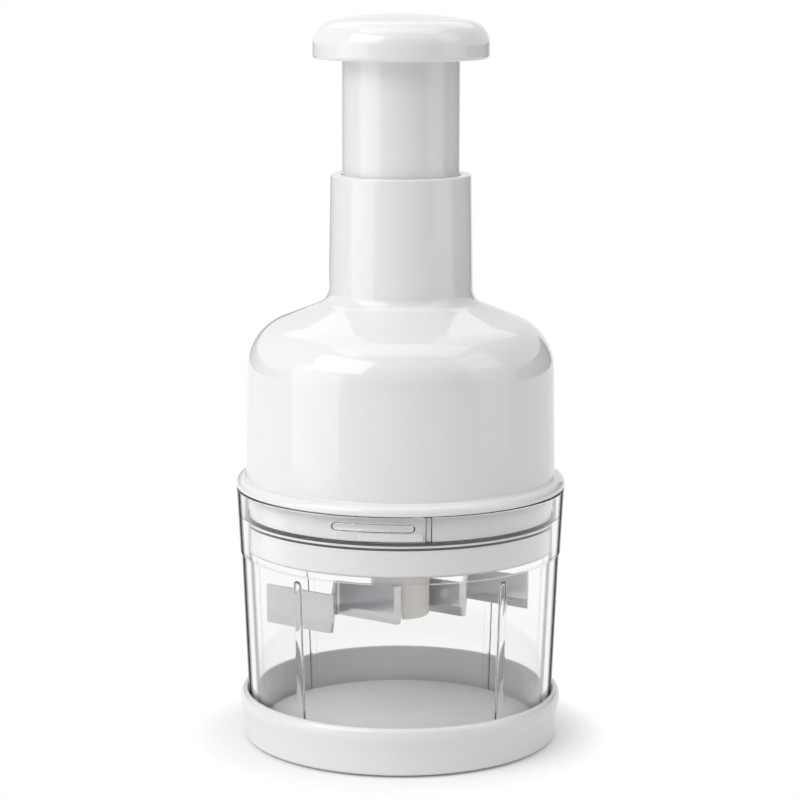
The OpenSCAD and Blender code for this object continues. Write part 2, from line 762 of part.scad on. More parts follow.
module plunger_tube() {
    pilot_h = 2;
    notch_w = fin_t + 2 * face_gap;
    notch_in_r = fin_in_r - face_gap;
    color(white) difference() {
        rotate_extrude() polygon([
            [tube_in_r, tube_z], [stop_r, tube_z], [stop_r, stop_z], [tube_r, stop_z],
            [tube_r, head_z], [head_r, head_z], [head_r, head_z + head_t], [tube_in_r, head_z + head_t],
            [tube_in_r, web_top_z], [bush_r + run_gap, web_top_z], [bush_r + run_gap, web_z],
            [pilot_in_r, web_z], [pilot_in_r, web_z - pilot_h], [pilot_r, web_z - pilot_h], [pilot_r, web_z],
            [tube_in_r, web_z]]);
        for (i = [0 : fin_count - 1]) rotate(fin_turn + i * 360 / fin_count)
            translate([notch_in_r, -notch_w / 2, tube_z - root])
                cube([stop_r, notch_w, stop_t + 2 * root]);
    }
}

module knob_cap() {
    corner_r = 1.4;
    roof_t = 3.4;
    seat_w = 5;
    ceiling_z = knob_top_z - roof_t;
    flat_r = knob_r - knob_edge_w;
    dome_r = (flat_r * flat_r + knob_dome * knob_dome) / (2 * knob_dome);
    edge_z = knob_top_z - knob_dome - knob_edge_h;
    hollow_r = knob_in_r - seat_w;
    seat_z = head_z + head_t;
    color(white) rotate_extrude() polygon(concat(
        [[knob_in_r, head_z]],
        arc(knob_r - corner_r, head_z + corner_r, corner_r, corner_r, -90, 0),
        arc(flat_r, edge_z, knob_edge_w, knob_edge_h, 0, 90),
        arc(0, knob_top_z - dome_r, dome_r, dome_r, 90 - asin(flat_r / dome_r), 90),
        [[0, ceiling_z], [hollow_r, ceiling_z], [hollow_r, seat_z], [knob_in_r, seat_z]]));
}

module swivel_bush() {
    color(off_white) rotate_extrude() polygon([
        [bush_in_r, bush_z], [swivel_r, bush_z], [swivel_r, web_z], [bush_r, web_z],
        [bush_r, bush_top_z], [bush_in_r, bush_top_z]]);
}

module swivel_washer() {
    color(steel) ring(swivel_r, screw_d / 2 + face_gap, journal_top_z, swivel_washer_t);
}

module swivel_screw() {
    color(steel) screw(journal_top_z + swivel_washer_t);
}

module drive_spindle() {
    collar_lip = 0.9;
    collar_r = bush_r + collar_lip;
    journal_z = collar_top_z - root;
    color(off_white) difference() {
        union() {
            translate([0, 0, shank_z]) cylinder(r = shank_r, h = shank_len + face_gap);
            twisted_bar(bar_w, post_top_z, bar_top_z - post_top_z + root);
            translate([0, 0, bar_top_z]) cylinder(r = collar_r, h = collar_t);
            translate([0, 0, journal_z]) cylinder(r = journal_r, h = journal_top_z - journal_z);
        }
        translate([0, 0, journal_top_z - screw_len - root])
            cylinder(r = screw_d / 2 + run_gap, h = screw_len + 2 * root);
        cross_bar(pin_r + run_gap, 4 * shank_r, spindle_pin_z);
    }
}

module spindle_pin() {
    color(steel) cross_bar(pin_r, pin_len, spindle_pin_z);
}

module blade_post() {
    bore_floor = 4;
    bore_z = blade_top_z + bore_floor;
    slot_w = blade_t + 2 * run_gap;
    color(off_white) difference() {
        rotate_extrude() polygon(concat(
            [[0, post_z]],
            arc(post_r - edge_r, post_z + edge_r, edge_r, edge_r, -90, 0),
            [[post_r, post_top_z - edge_r], [post_r - edge_r, post_top_z], [shank_r + run_gap, post_top_z],
             [shank_r + run_gap, bore_z], [0, bore_z]]));
        translate([-slot_w / 2, -post_d, post_z - root])
            cube([slot_w, 2 * post_d, blade_top_z + push_gap - post_z + root]);
        for (z = concat(blade_pin_z, spindle_pin_z)) cross_bar(pin_r + run_gap, 2 * post_d, z);
    }
}

// One side of the zigzag, shifted sideways by half the strip's thickness
function zigzag(thickness, side) = [for (i = [0 : zigzag_count])
    let (from_middle = abs(i - (zigzag_count - 1) / 2))
    [(i - zigzag_count / 2) * zigzag_step,
     (from_middle % 2 == 0 ? -zigzag_w : zigzag_w) + side * thickness / 2 / cos(zigzag_lean)]];

// The strip's outline at one height, as points all the way round
function strip(thickness, z) = [for (p = concat(zigzag(thickness, 1),
    [for (i = [zigzag_count : -1 : 0]) zigzag(thickness, -1)[i]])) [p.x, p.y, z]];

module blade() {
    n = 2 * (zigzag_count + 1);
    levels = [strip(edge_t, blade_z), strip(blade_t, blade_z + bevel_h), strip(blade_t, blade_top_z)];
    walls = [for (level = [0, 1], i = [0 : n - 1])
        [level * n + i, level * n + (i + 1) % n, (level + 1) * n + (i + 1) % n, (level + 1) * n + i]];
    caps = [for (i = [0 : zigzag_count - 1]) each [
        [i, i + 1, n - 2 - i, n - 1 - i],
        [2 * n + n - 1 - i, 2 * n + n - 2 - i, 2 * n + i + 1, 2 * n + i]]];
    color(steel) difference() {
        rotate(90 - zigzag_lean) polyhedron([for (level = levels) each level], concat(walls, caps));
        for (z = blade_pin_z) cross_bar(pin_r + run_gap, pin_len, z);
    }
}

module blade_pins() {
    color(steel) for (z = blade_pin_z) cross_bar(pin_r, pin_len, z);
}

base_cap();
foot_ring();
cutting_board();
bowl();
housing();
guide_ring();
guard_cup();
bowl_seal();
post_seal();
drive_tower();
tower_screws();
pawl_ring();
drive_nut();
thrust_washer();
return_spring();
plunger_tube();
knob_cap();
swivel_bush();
swivel_washer();
swivel_screw();
drive_spindle();
spindle_pin();
blade_post();
blade();
blade_pins();
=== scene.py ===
"""Looks of a press-down food chopper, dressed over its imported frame.

Sizes are in millimetres and angles in degrees, counted from the front towards the right, unless a
name or a docstring says otherwise. Meshes are made in metres, in the frame's own place.
"""

import json
import logging
import math
from collections.abc import Iterable, Mapping, Sequence
from dataclasses import dataclass, field
from enum import Enum

import bmesh
import bpy
import numpy as np
from bpy.types import ID, Material, Mesh, Node, NodeSocket, NodeTree, Object
from mathutils import Matrix, Vector


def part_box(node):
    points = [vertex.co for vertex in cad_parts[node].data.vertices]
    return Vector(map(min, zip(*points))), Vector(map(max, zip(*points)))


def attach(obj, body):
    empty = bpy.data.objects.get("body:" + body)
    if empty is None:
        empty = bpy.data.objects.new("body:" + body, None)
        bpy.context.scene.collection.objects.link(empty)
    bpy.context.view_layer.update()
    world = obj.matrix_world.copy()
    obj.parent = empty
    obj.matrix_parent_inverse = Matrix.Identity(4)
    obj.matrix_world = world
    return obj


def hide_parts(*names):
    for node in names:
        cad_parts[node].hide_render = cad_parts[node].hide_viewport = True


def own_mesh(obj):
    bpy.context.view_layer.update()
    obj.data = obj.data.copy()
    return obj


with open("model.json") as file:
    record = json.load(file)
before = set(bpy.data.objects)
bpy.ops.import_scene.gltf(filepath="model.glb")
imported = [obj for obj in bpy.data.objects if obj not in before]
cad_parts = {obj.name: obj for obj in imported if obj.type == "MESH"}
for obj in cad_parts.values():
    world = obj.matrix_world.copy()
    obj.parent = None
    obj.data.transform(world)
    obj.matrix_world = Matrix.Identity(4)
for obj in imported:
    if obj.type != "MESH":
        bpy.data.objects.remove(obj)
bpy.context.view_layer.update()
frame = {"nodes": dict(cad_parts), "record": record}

MM = 0.001
ROUND_STEPS = 192
SAME_POINT = 1e-6

Rgb = tuple[float, float, float]
Value = float | int | bool | Sequence[float] | ID | NodeSocket
Inputs = Mapping[int | str, Value]
PathPoint = tuple[np.ndarray, np.ndarray]

log = logging.getLogger("chopper")


class Body(Enum):
    """Moving bodies of the chopper."""

    BASE = "base"
    BOWL = "bowl"
    HOUSING = "housing"
    PLUNGER = "plunger"
    BLADE_UNIT = "blade_unit"


class Slot(Enum):
    """Material slots of the record."""

    WHITE = "white_plastic"
    CLEAR = "clear_plastic"
    POST = "post_plastic"
    BOARD = "board_plastic"
    DRIVE = "drive_plastic"
    RUBBER = "soft_rubber"
    BLADE = "blade_steel"
    HARDWARE = "hardware_steel"
    SPRING = "spring_steel"


class Grain(Enum):
    """Direction of the fine lines on a steel, as how often they repeat along X, Y and Z."""

    LEVEL = (0.06, 0.06, 1.0)
    EVEN = (1.0, 1.0, 1.0)


# Outlines that are turned round the axis


def unit(way: np.ndarray) -> np.ndarray:
    """The same direction with length one."""
    return way / np.linalg.norm(way)


def left_of(way: np.ndarray) -> np.ndarray:
    """The direction a quarter turn to the left."""
    return np.array((-way[1], way[0]))


@dataclass(frozen=True)
class Corner:
    """Corner of an outline at a radius and a height, with the radius of its rounding."""

    r: float
    z: float
    rounding: float = 0.2

    @property
    def start(self) -> np.ndarray:
        """Where lines to the corner aim."""
        return np.array((self.r, self.z))

    end = start

    def path(self, before: np.ndarray | None, after: np.ndarray | None) -> list[PathPoint]:
        """Points round the corner, closer together on a small rounding.

        Args:
            before: Where the outline comes from, or None at its first point.
            after: Where it goes, or None at its last point.

        Returns:
            Pairs of a point and the normal there, which points to the right of the way.
        """
        here = self.start
        if before is None or after is None:
            way = unit(after - here) if before is None else unit(here - before)
            return [(here, -left_of(way))]
        way_in = unit(here - before)
        way_out = unit(after - here)
        turn = math.atan2(way_in[0] * way_out[1] - way_in[1] * way_out[0], way_in @ way_out)
        side = math.copysign(self.rounding, turn)
        middle = here - way_in * self.rounding * math.tan(abs(turn) / 2) + left_of(way_in) * side
        steps = 2 + math.ceil(abs(turn) * (2 + 3 * math.sqrt(self.rounding)))
        found = []
        for step in range(steps + 1):
            angle = turn * step / steps
            way = way_in * math.cos(angle) + left_of(way_in) * math.sin(angle)
            found.append((middle - left_of(way) * side, -left_of(way)))
        return found


@dataclass(frozen=True)
class Bend:
    """Stretch of an ellipse in an outline, about a middle point, from one angle to another."""

    r: float
    z: float
    width: float
    height: float
    first: float
    last: float
    steps: int = 20

    def at(self, degrees: float) -> np.ndarray:
        """The point at an angle."""
        angle = math.radians(degrees)
        return np.array((self.r + self.width * math.cos(angle), self.z + self.height * math.sin(angle)))

    @property
    def start(self) -> np.ndarray:
        """First point of the stretch."""
        return self.at(self.first)

    @property
    def end(self) -> np.ndarray:
        """Last point of the stretch."""
        return self.at(self.last)

    def path(self, before: np.ndarray | None, after: np.ndarray | None) -> list[PathPoint]:
        """Points along the stretch, whatever comes before and after it.

        Args:
            before: Where the outline comes from.
            after: Where it goes.

        Returns:
            Pairs of a point and the normal there, which points to the right of the way.
        """
        found = []
        sense = math.copysign(1.0, self.last - self.first)
        for degrees in np.linspace(self.first, self.last, self.steps + 1):
            angle = math.radians(degrees)
            way = unit(sense * np.array((-self.width * math.sin(angle), self.height * math.cos(angle))))
            found.append((self.at(degrees), -left_of(way)))
        return found


Outline = Sequence[Corner | Bend]


def corners(rounding: float, *places: tuple[float, float]) -> list[Corner]:
    """Corners at several places, all with the same rounding."""
    return [Corner(r, z, rounding) for r, z in places]


def trace(outline: Outline, closed: bool) -> list[PathPoint]:
    """Follows an outline, which runs with its solid on the left.

    Args:
        outline: Corners and bends in order.
        closed: Whether the last element leads back to the first.

    Returns:
        Pairs of a point and its outward normal, without repeated points.
    """
    found: list[PathPoint] = []
    last = len(outline) - 1
    for i, element in enumerate(outline):
        before = outline[i - 1].end if closed or i > 0 else None
        after = outline[(i + 1) % len(outline)].start if closed or i < last else None
        for point, normal in element.path(before, after):
            if not found or np.linalg.norm(point - found[-1][0]) > SAME_POINT:
                found.append((point, normal))
    return found


# Meshes


def new_object(name: str, mesh: Mesh) -> Object:
    """A new object at the origin that holds a mesh."""
    made = bpy.data.objects.new(name, mesh)
    bpy.context.scene.collection.objects.link(made)
    return made


def lathe(name: str, outline: Outline, closed: bool = True, steps: int = ROUND_STEPS) -> Object:
    """Turns an outline round the Z axis.

    Args:
        name: Name of the object.
        outline: Corners and bends in order, with the solid on the left.
        closed: True for a ring; False for an outline that starts and ends on the axis.
        steps: Steps round the axis.

    Returns:
        The turned piece, with exact normals.
    """
    verts: list[tuple[float, float, float]] = []
    normals: list[tuple[float, float, float]] = []
    rings: list[list[int]] = []
    turns = [2 * math.pi * i / steps for i in range(steps)]
    for (r, z), (across, up) in trace(outline, closed):
        first = len(verts)
        if r < SAME_POINT:
            verts.append((0.0, 0.0, z * MM))
            normals.append((0.0, 0.0, math.copysign(1.0, up)))
            rings.append([first] * steps)
            continue
        for turn in turns:
            verts.append((r * math.cos(turn) * MM, r * math.sin(turn) * MM, z * MM))
            normals.append((across * math.cos(turn), across * math.sin(turn), up))
        rings.append(list(range(first, first + steps)))
    pairs = list(zip(rings, rings[1:]))
    if closed:
        pairs.append((rings[-1], rings[0]))
    faces = []
    for low, high in pairs:
        for i in range(steps):
            corners = (low[i - 1], low[i], high[i], high[i - 1])
            faces.append(tuple(dict.fromkeys(corners)))
    mesh = bpy.data.meshes.new(name)
    mesh.from_pydata(verts, [], faces)
    mesh.shade_smooth()
    mesh.normals_split_custom_set_from_vertices(normals)
    return new_object(name, mesh)


@dataclass(frozen=True)
class BentPad:
    """A pad that is bent round the axis and faces the front.

    It is rooted at one radius and its free face lies at another. Seen from the front, its corners
    are round by end_r, and the edge of its face is round by edge_r.
    """

    face_r: float
    root_r: float
    span: float
    low: float
    high: float
    end_r: float
    edge_r: float
    arc_steps: int = 8
    flat_steps: int = 40

    def quarter(self) -> list[float]:
        """Angles of a quarter round, in radians."""
        return [math.radians(90 * i / self.arc_steps) for i in range(self.arc_steps + 1)]

    def upper_edge(self, inset: float) -> list[tuple[float, float]]:
        """Points along the upper edge from end to end.

        Args:
            inset: How far they are set in from the outline.

        Returns:
            Pairs of a way along the pad and a height, from its middle.
        """
        least_corner = 0.02
        half_h = (self.high - self.low) / 2
        corner = max(self.end_r - inset, least_corner)
        flat = self.face_r * math.radians(self.span) / 2 - inset - corner
        rise = half_h - inset - corner
        first = [(-flat - corner * math.cos(a), rise + corner * math.sin(a)) for a in self.quarter()]
        share = 2 * flat / self.flat_steps
        middle = [(-flat + share * i, half_h - inset) for i in range(1, self.flat_steps)]
        return first + middle + [(-u, v) for u, v in reversed(first)]

    def build(self, name: str) -> Object:
        """Makes the pad.

        Args:
            name: Name of the object.

        Returns:
            A closed mesh.
        """
        merge_m = 1e-7
        levels = [(0.0, self.root_r)]
        side = math.copysign(self.edge_r, self.root_r - self.face_r)
        for angle in self.quarter():
            levels.append((self.edge_r * (1 - math.cos(angle)), self.face_r + side * (1 - math.sin(angle))))
        shape = bmesh.new()
        loops = []
        for inset, r in levels:
            upper = self.upper_edge(inset)
            loop = []
            for u, v in upper + [(u, -v) for u, v in reversed(upper)]:
                angle = u / self.face_r
                place = (r * math.sin(angle), -r * math.cos(angle), (self.low + self.high) / 2 + v)
                loop.append(shape.verts.new(Vector(place) * MM))
            loops.append(loop)
        count = len(loops[0])
        for inner, outer in zip(loops, loops[1:]):
            for i in range(count):
                shape.faces.new((inner[i - 1], inner[i], outer[i], outer[i - 1]))
        for loop in (loops[0], loops[-1]):
            for i in range(count // 2 - 1):
                shape.faces.new((loop[i], loop[i + 1], loop[count - 2 - i], loop[count - 1 - i]))
        bmesh.ops.remove_doubles(shape, verts=shape.verts, dist=merge_m)
        bmesh.ops.recalc_face_normals(shape, faces=shape.faces)
        return close_shape(name, shape)


def close_shape(name: str, shape: bmesh.types.BMesh) -> Object:
    """Puts a shape into a new object and frees it."""
    mesh = bpy.data.meshes.new(name)
    shape.to_mesh(mesh)
    shape.free()
    return new_object(name, mesh)


def crease(piece: Object, degrees: float) -> Object:
    """Shades a piece smooth, with sharp edges past an angle and normals weighted by area.

    Args:
        piece: Mesh object to shade.
        degrees: Angle past which an edge is sharp.

    Returns:
        The same object, with a plain mesh.
    """
    piece.data.shade_smooth()
    piece.data.set_sharp_from_angle(angle=math.radians(degrees))
    weigh = piece.modifiers.new("weigh", "WEIGHTED_NORMAL")
    weigh.keep_sharp = True
    return settle(piece)


def settle(piece: Object) -> Object:
    """Turns an object's modifiers into its plain mesh and removes them."""
    graph = bpy.context.evaluated_depsgraph_get()
    mesh = bpy.data.meshes.new_from_object(piece.evaluated_get(graph))
    old = piece.data
    piece.modifiers.clear()
    piece.data = mesh
    bpy.data.meshes.remove(old)
    mesh.name = piece.name
    return piece


def join(name: str, parts: Iterable[Object]) -> Object:
    """Puts the meshes of several objects into one new object and deletes them."""
    shape = bmesh.new()
    for part in parts:
        shape.from_mesh(part.data)
        discard(part)
    return close_shape(name, shape)


def discard(piece: Object) -> None:
    """Deletes an object and its mesh."""
    mesh = piece.data
    bpy.data.objects.remove(piece)
    bpy.data.meshes.remove(mesh)


def paint(piece: Object, material: Material) -> None:
    """Gives a mesh one material."""
    piece.data.materials.clear()
    piece.data.materials.append(material)


@dataclass(frozen=True)
class Span:
    """Radius and heights of a round frame node."""

    r: float
    low: float
    high: float

    @classmethod
    def of(cls, node: str) -> "Span":
        """Reads a node's box."""
        lowest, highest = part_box(node)
        return cls(highest.x / MM, lowest.z / MM, highest.z / MM)


# Node trees


@dataclass
class Wiring:
    """A node tree that is being put together."""

    tree: NodeTree

    def put(self, kind: str, inputs: Inputs | None = None, **options: str | ID) -> Node:
        """Adds a node.

        Args:
            kind: Type of the node.
            inputs: Values or sockets for its inputs, by name or number.
            **options: Settings of the node itself.

        Returns:
            The new node.
        """
        node = self.tree.nodes.new(kind)
        for name, option in options.items():
            setattr(node, name, option)
        self.fill(node, inputs or {})
        return node

    def fill(self, node: Node, inputs: Inputs) -> None:
        """Gives inputs of a node their values or sockets, by name or number."""
        for key, value in inputs.items():
            self.feed(node.inputs[key], value)

    def out(self, kind: str, inputs: Inputs | None = None, **options: str) -> NodeSocket:
        """Adds a node and gives its first output."""
        return self.put(kind, inputs, **options).outputs[0]

    def feed(self, socket: NodeSocket, value: Value) -> None:
        """Links an input to a socket, or sets its value."""
        if isinstance(value, NodeSocket):
            self.tree.links.new(value, socket)
        else:
            socket.default_value = value

    def math(self, operation: str, first: Value, second: Value = 0.0) -> NodeSocket:
        """The result of a sum on one or two values."""
        return self.out("ShaderNodeMath", {0: first, 1: second}, operation=operation)

    def ramp(self, value: Value, low: float, high: float, to_low: float, to_high: float) -> NodeSocket:
        """A value moved from one range to another, and held inside it."""
        inputs = {"Value": value, "From Min": low, "From Max": high, "To Min": to_low, "To Max": to_high}
        return self.out("ShaderNodeMapRange", inputs)

    def mix(self, share: Value, first: Rgb, second: Rgb) -> NodeSocket:
        """A colour between two others."""
        inputs = {0: share, 6: (*first, 1.0), 7: (*second, 1.0)}
        return self.put("ShaderNodeMix", inputs, data_type="RGBA").outputs[2]

    def blend(self, share: NodeSocket, first: Node, second: Node) -> Node:
        """A shader between two others."""
        return self.put("ShaderNodeMixShader", {0: share, 1: first.outputs[0], 2: second.outputs[0]})

    def place(self, x: Value, y: Value, z: Value) -> NodeSocket:
        """A vector from three values."""
        return self.out("ShaderNodeCombineXYZ", {0: x, 1: y, 2: z})

    def object_place(self) -> NodeSocket:
        """Place on the object, in metres."""
        return self.put("ShaderNodeTexCoord").outputs["Object"]

    def noise(self, place: NodeSocket, scale: Value, detail: float, bend: float = 0.0) -> NodeSocket:
        """Soft noise over a place, mostly between NOISE_LOW and NOISE_HIGH."""
        inputs = {"Vector": place, "Scale": scale, "Detail": detail, "Distortion": bend}
        return self.out("ShaderNodeTexNoise", inputs)


@dataclass
class Tree(Wiring):
    """A node group with named inputs and outputs."""

    start: Node
    end: Node

    @classmethod
    def open(cls, name: str, kind: str, inputs: Mapping[str, str], outputs: Mapping[str, str]) -> "Tree":
        """Starts a group.

        Args:
            name: Name of the group.
            kind: Type of its tree.
            inputs: Socket type of each input, by name.
            outputs: Socket type of each output, by name.

        Returns:
            The group with its two end nodes.
        """
        tree = bpy.data.node_groups.new(name, kind)
        for label, socket in inputs.items():
            tree.interface.new_socket(label, in_out="INPUT", socket_type=socket)
        for label, socket in outputs.items():
            tree.interface.new_socket(label, in_out="OUTPUT", socket_type=socket)
        return cls(tree, tree.nodes.new("NodeGroupInput"), tree.nodes.new("NodeGroupOutput"))

    def given(self, name: str) -> NodeSocket:
        """The socket of a named input."""
        return self.start.outputs[name]

    def give(self, name: str, value: NodeSocket) -> None:
        """Sends a value out of the group."""
        self.feed(self.end.inputs[name], value)


FLOAT = "NodeSocketFloat"
INTEGER = "NodeSocketInt"
OBJECT = "NodeSocketObject"
MATERIAL = "NodeSocketMaterial"
NOISE_LOW = 0.3
NOISE_HIGH = 0.7


def geometry_tree(name: str, inputs: Mapping[str, str]) -> Tree:
    """Starts a geometry tree, which always has a material input and one geometry output."""
    sockets = {**inputs, "Material": MATERIAL}
    return Tree.open(name, "GeometryNodeTree", sockets, {"Geometry": "NodeSocketGeometry"})


def close_geometry(tree: Tree, shape: NodeSocket) -> NodeTree:
    """Ends a geometry tree: the shape is made real and gets the material."""
    real = tree.out("GeometryNodeRealizeInstances", {"Geometry": shape})
    inputs = {"Geometry": real, "Material": tree.given("Material")}
    tree.give("Geometry", tree.out("GeometryNodeSetMaterial", inputs))
    return tree.tree


def ring_tree() -> NodeTree:
    """Copies of a piece, evenly spaced round the axis."""
    tree = geometry_tree("ring_of_copies", {"Piece": OBJECT, "Count": INTEGER, "Start": FLOAT})
    piece = tree.put("GeometryNodeObjectInfo", {"Object": tree.given("Piece")}).outputs["Geometry"]
    points = tree.out("GeometryNodePoints", {"Count": tree.given("Count")})
    share = tree.math("DIVIDE", tree.out("GeometryNodeInputIndex"), tree.given("Count"))
    turn = tree.math("ADD", tree.math("MULTIPLY", share, 2 * math.pi), tree.given("Start"))
    inputs = {"Points": points, "Instance": piece, "Rotation": tree.place(0.0, 0.0, turn)}
    return close_geometry(tree, tree.out("GeometryNodeInstanceOnPoints", inputs))


def coil_tree() -> NodeTree:
    """A wire coil that stands on a height, with one close turn at each end."""
    sizes = dict.fromkeys(("Bottom", "Length", "Radius", "Wire", "End Pitch", "Open Turns"), FLOAT)
    tree = geometry_tree("wire_coil", sizes)
    turn_steps = 40
    sides = 14
    open_turns = tree.given("Open Turns")
    end_pitch = tree.given("End Pitch")
    wire_r = tree.math("DIVIDE", tree.given("Wire"), 2.0)
    all_turns = tree.math("ADD", open_turns, 2.0)
    count = tree.math("ADD", tree.math("MULTIPLY", all_turns, turn_steps), 1.0)
    line = tree.out("GeometryNodeMeshLine", {"Count": count})
    turns = tree.math("DIVIDE", tree.out("GeometryNodeInputIndex"), turn_steps)
    angle = tree.math("MULTIPLY", turns, 2 * math.pi)
    x = tree.math("MULTIPLY", tree.math("COSINE", angle), tree.given("Radius"))
    y = tree.math("MULTIPLY", tree.math("SINE", angle), tree.given("Radius"))
    close_len = tree.math("ADD", tree.given("Wire"), tree.math("MULTIPLY", end_pitch, 2.0))
    open_pitch = tree.math("DIVIDE", tree.math("SUBTRACT", tree.given("Length"), close_len), open_turns)
    last_close = tree.math("MAXIMUM", tree.math("SUBTRACT", turns, tree.math("ADD", open_turns, 1.0)), 0.0)
    closed = tree.math("ADD", tree.math("MINIMUM", turns, 1.0), last_close)
    opened = tree.math("MINIMUM", tree.math("MAXIMUM", tree.math("SUBTRACT", turns, 1.0), 0.0), open_turns)
    close_climb = tree.math("MULTIPLY", closed, end_pitch)
    climb = tree.math("ADD", close_climb, tree.math("MULTIPLY", opened, open_pitch))
    z = tree.math("ADD", tree.math("ADD", tree.given("Bottom"), wire_r), climb)
    path = tree.out("GeometryNodeSetPosition", {"Geometry": line, "Position": tree.place(x, y, z)})
    curve = tree.out("GeometryNodeMeshToCurve", {"Mesh": path})
    circle = tree.out("GeometryNodeCurvePrimitiveCircle", {"Resolution": sides, "Radius": wire_r})
    inputs = {"Curve": curve, "Profile Curve": circle, "Fill Caps": True}
    return close_geometry(tree, tree.out("GeometryNodeCurveToMesh", inputs))


def zigzag_tree() -> NodeTree:
    """A strip that is folded to and fro, with round folds, and turned about the axis."""
    sizes = dict.fromkeys(("Step", "Swing", "Fold Radius", "Turn"), FLOAT)
    tree = geometry_tree("folded_strip", {"Strip": OBJECT, "Stretches": INTEGER, **sizes})
    fold_steps = 32
    stretches = tree.given("Stretches")
    count = tree.math("ADD", stretches, 1.0)
    line = tree.out("GeometryNodeMeshLine", {"Count": count})
    number = tree.out("GeometryNodeInputIndex")
    from_middle = tree.math("SUBTRACT", number, tree.math("DIVIDE", stretches, 2.0))
    x = tree.math("MULTIPLY", from_middle, tree.given("Step"))
    half_turns = tree.math("ADD", number, tree.math("DIVIDE", count, 2.0))
    swing = tree.math("COSINE", tree.math("MULTIPLY", half_turns, math.pi))
    y = tree.math("MULTIPLY", swing, tree.given("Swing"))
    path = tree.out("GeometryNodeSetPosition", {"Geometry": line, "Position": tree.place(x, y, 0.0)})
    curve = tree.out("GeometryNodeMeshToCurve", {"Mesh": path})
    inputs = {"Curve": curve, "Radius": tree.given("Fold Radius"), "Limit Radius": True, "Count": fold_steps}
    folded = tree.out("GeometryNodeFilletCurve", inputs, mode="POLY")
    level = tree.out("GeometryNodeSetCurveNormal", {"Curve": folded}, mode="Z_UP")
    strip = tree.put("GeometryNodeObjectInfo", {"Object": tree.given("Strip")}).outputs["Geometry"]
    profile = tree.out("GeometryNodeMeshToCurve", {"Mesh": strip})
    inputs = {"Curve": level, "Profile Curve": profile, "Fill Caps": True}
    band = tree.out("GeometryNodeCurveToMesh", inputs)
    turn = tree.place(0.0, 0.0, tree.given("Turn"))
    return close_geometry(tree, tree.out("GeometryNodeTransform", {"Geometry": band, "Rotation": turn}))


def grow(name: str, tree: NodeTree, values: Mapping[str, Value]) -> Object:
    """Runs a geometry tree and keeps its result as a plain mesh.

    Args:
        name: Name of the object.
        tree: The geometry tree.
        values: Value of each of its inputs, by name.

    Returns:
        An object with a plain mesh and no modifier.
    """
    holder = new_object(name, bpy.data.meshes.new(name))
    modifier = holder.modifiers.new("grow", "NODES")
    modifier.node_group = tree
    for item in tree.interface.items_tree:
        if item.in_out == "INPUT":
            modifier[item.identifier] = values[item.name]
    return settle(holder)


# Effects that several finishes share


def moulded_skin() -> NodeTree:
    """Surface of moulded plastic: fine grain, slow waves left by the mould, and cloudy tone."""
    tree = Tree.open("moulded_skin", "ShaderNodeTree", {"Grain Scale": FLOAT, "Wave Scale": FLOAT},
                     {"Height": FLOAT, "Tone": FLOAT, "Gloss": FLOAT})
    grain_share = 0.12
    cloud_share = 0.4
    place = tree.object_place()
    grain = tree.noise(place, tree.given("Grain Scale"), 2.0)
    waves = tree.noise(place, tree.given("Wave Scale"), 1.0)
    cloud = tree.noise(place, tree.math("MULTIPLY", tree.given("Wave Scale"), cloud_share), 3.0)
    tree.give("Height", tree.math("ADD", tree.math("MULTIPLY", grain, grain_share), waves))
    tree.give("Tone", tree.ramp(cloud, NOISE_LOW, NOISE_HIGH, 0.0, 1.0))
    tree.give("Gloss", tree.ramp(waves, NOISE_LOW, NOISE_HIGH, 0.0, 1.0))
    return tree.tree


def hair_scratches() -> NodeTree:
    """Fine scratches from use and washing, in patches."""
    tree = Tree.open("hair_scratches", "ShaderNodeTree", {"Scale": FLOAT, "Width": FLOAT}, {"Mask": FLOAT})
    bend = 0.6
    patch_share = 0.7
    patch_from = 0.5
    patch_to = 0.65
    place = tree.object_place()
    lines = tree.noise(place, tree.given("Scale"), 1.0, bend)
    off_middle = tree.math("ABSOLUTE", tree.math("SUBTRACT", lines, 0.5))
    hair = tree.math("LESS_THAN", off_middle, tree.given("Width"))
    patches = tree.noise(place, tree.math("MULTIPLY", tree.given("Scale"), patch_share), 2.0)
    shown = tree.ramp(patches, patch_from, patch_to, 0.0, 1.0)
    tree.give("Mask", tree.math("MULTIPLY", hair, shown))
    return tree.tree


def drawn_lines() -> NodeTree:
    """Fine lines that grinding or drawing leaves on steel."""
    tree = Tree.open("drawn_lines", "ShaderNodeTree", {"Scale": FLOAT, "Direction": "NodeSocketVector"},
                     {"Height": FLOAT, "Tone": FLOAT})
    tone_share = 0.1
    inputs = {0: tree.object_place(), 1: tree.given("Direction")}
    stretched = tree.out("ShaderNodeVectorMath", inputs, operation="MULTIPLY")
    tone = tree.noise(stretched, tree.math("MULTIPLY", tree.given("Scale"), tone_share), 2.0)
    tree.give("Height", tree.noise(stretched, tree.given("Scale"), 4.0))
    tree.give("Tone", tree.ramp(tone, NOISE_LOW, NOISE_HIGH, 0.0, 1.0))
    return tree.tree


@dataclass(frozen=True)
class Effects:
    """The shared shader groups."""

    skin: NodeTree
    scratches: NodeTree
    lines: NodeTree

    @classmethod
    def make(cls) -> "Effects":
        """Builds each group once."""
        return cls(moulded_skin(), hair_scratches(), drawn_lines())


# Finishes


def blank_material(name: str) -> tuple[Material, Wiring]:
    """A new material without nodes, and its wiring."""
    material = bpy.data.materials.new(name)
    material.use_nodes = True
    material.node_tree.nodes.clear()
    return material, Wiring(material.node_tree)


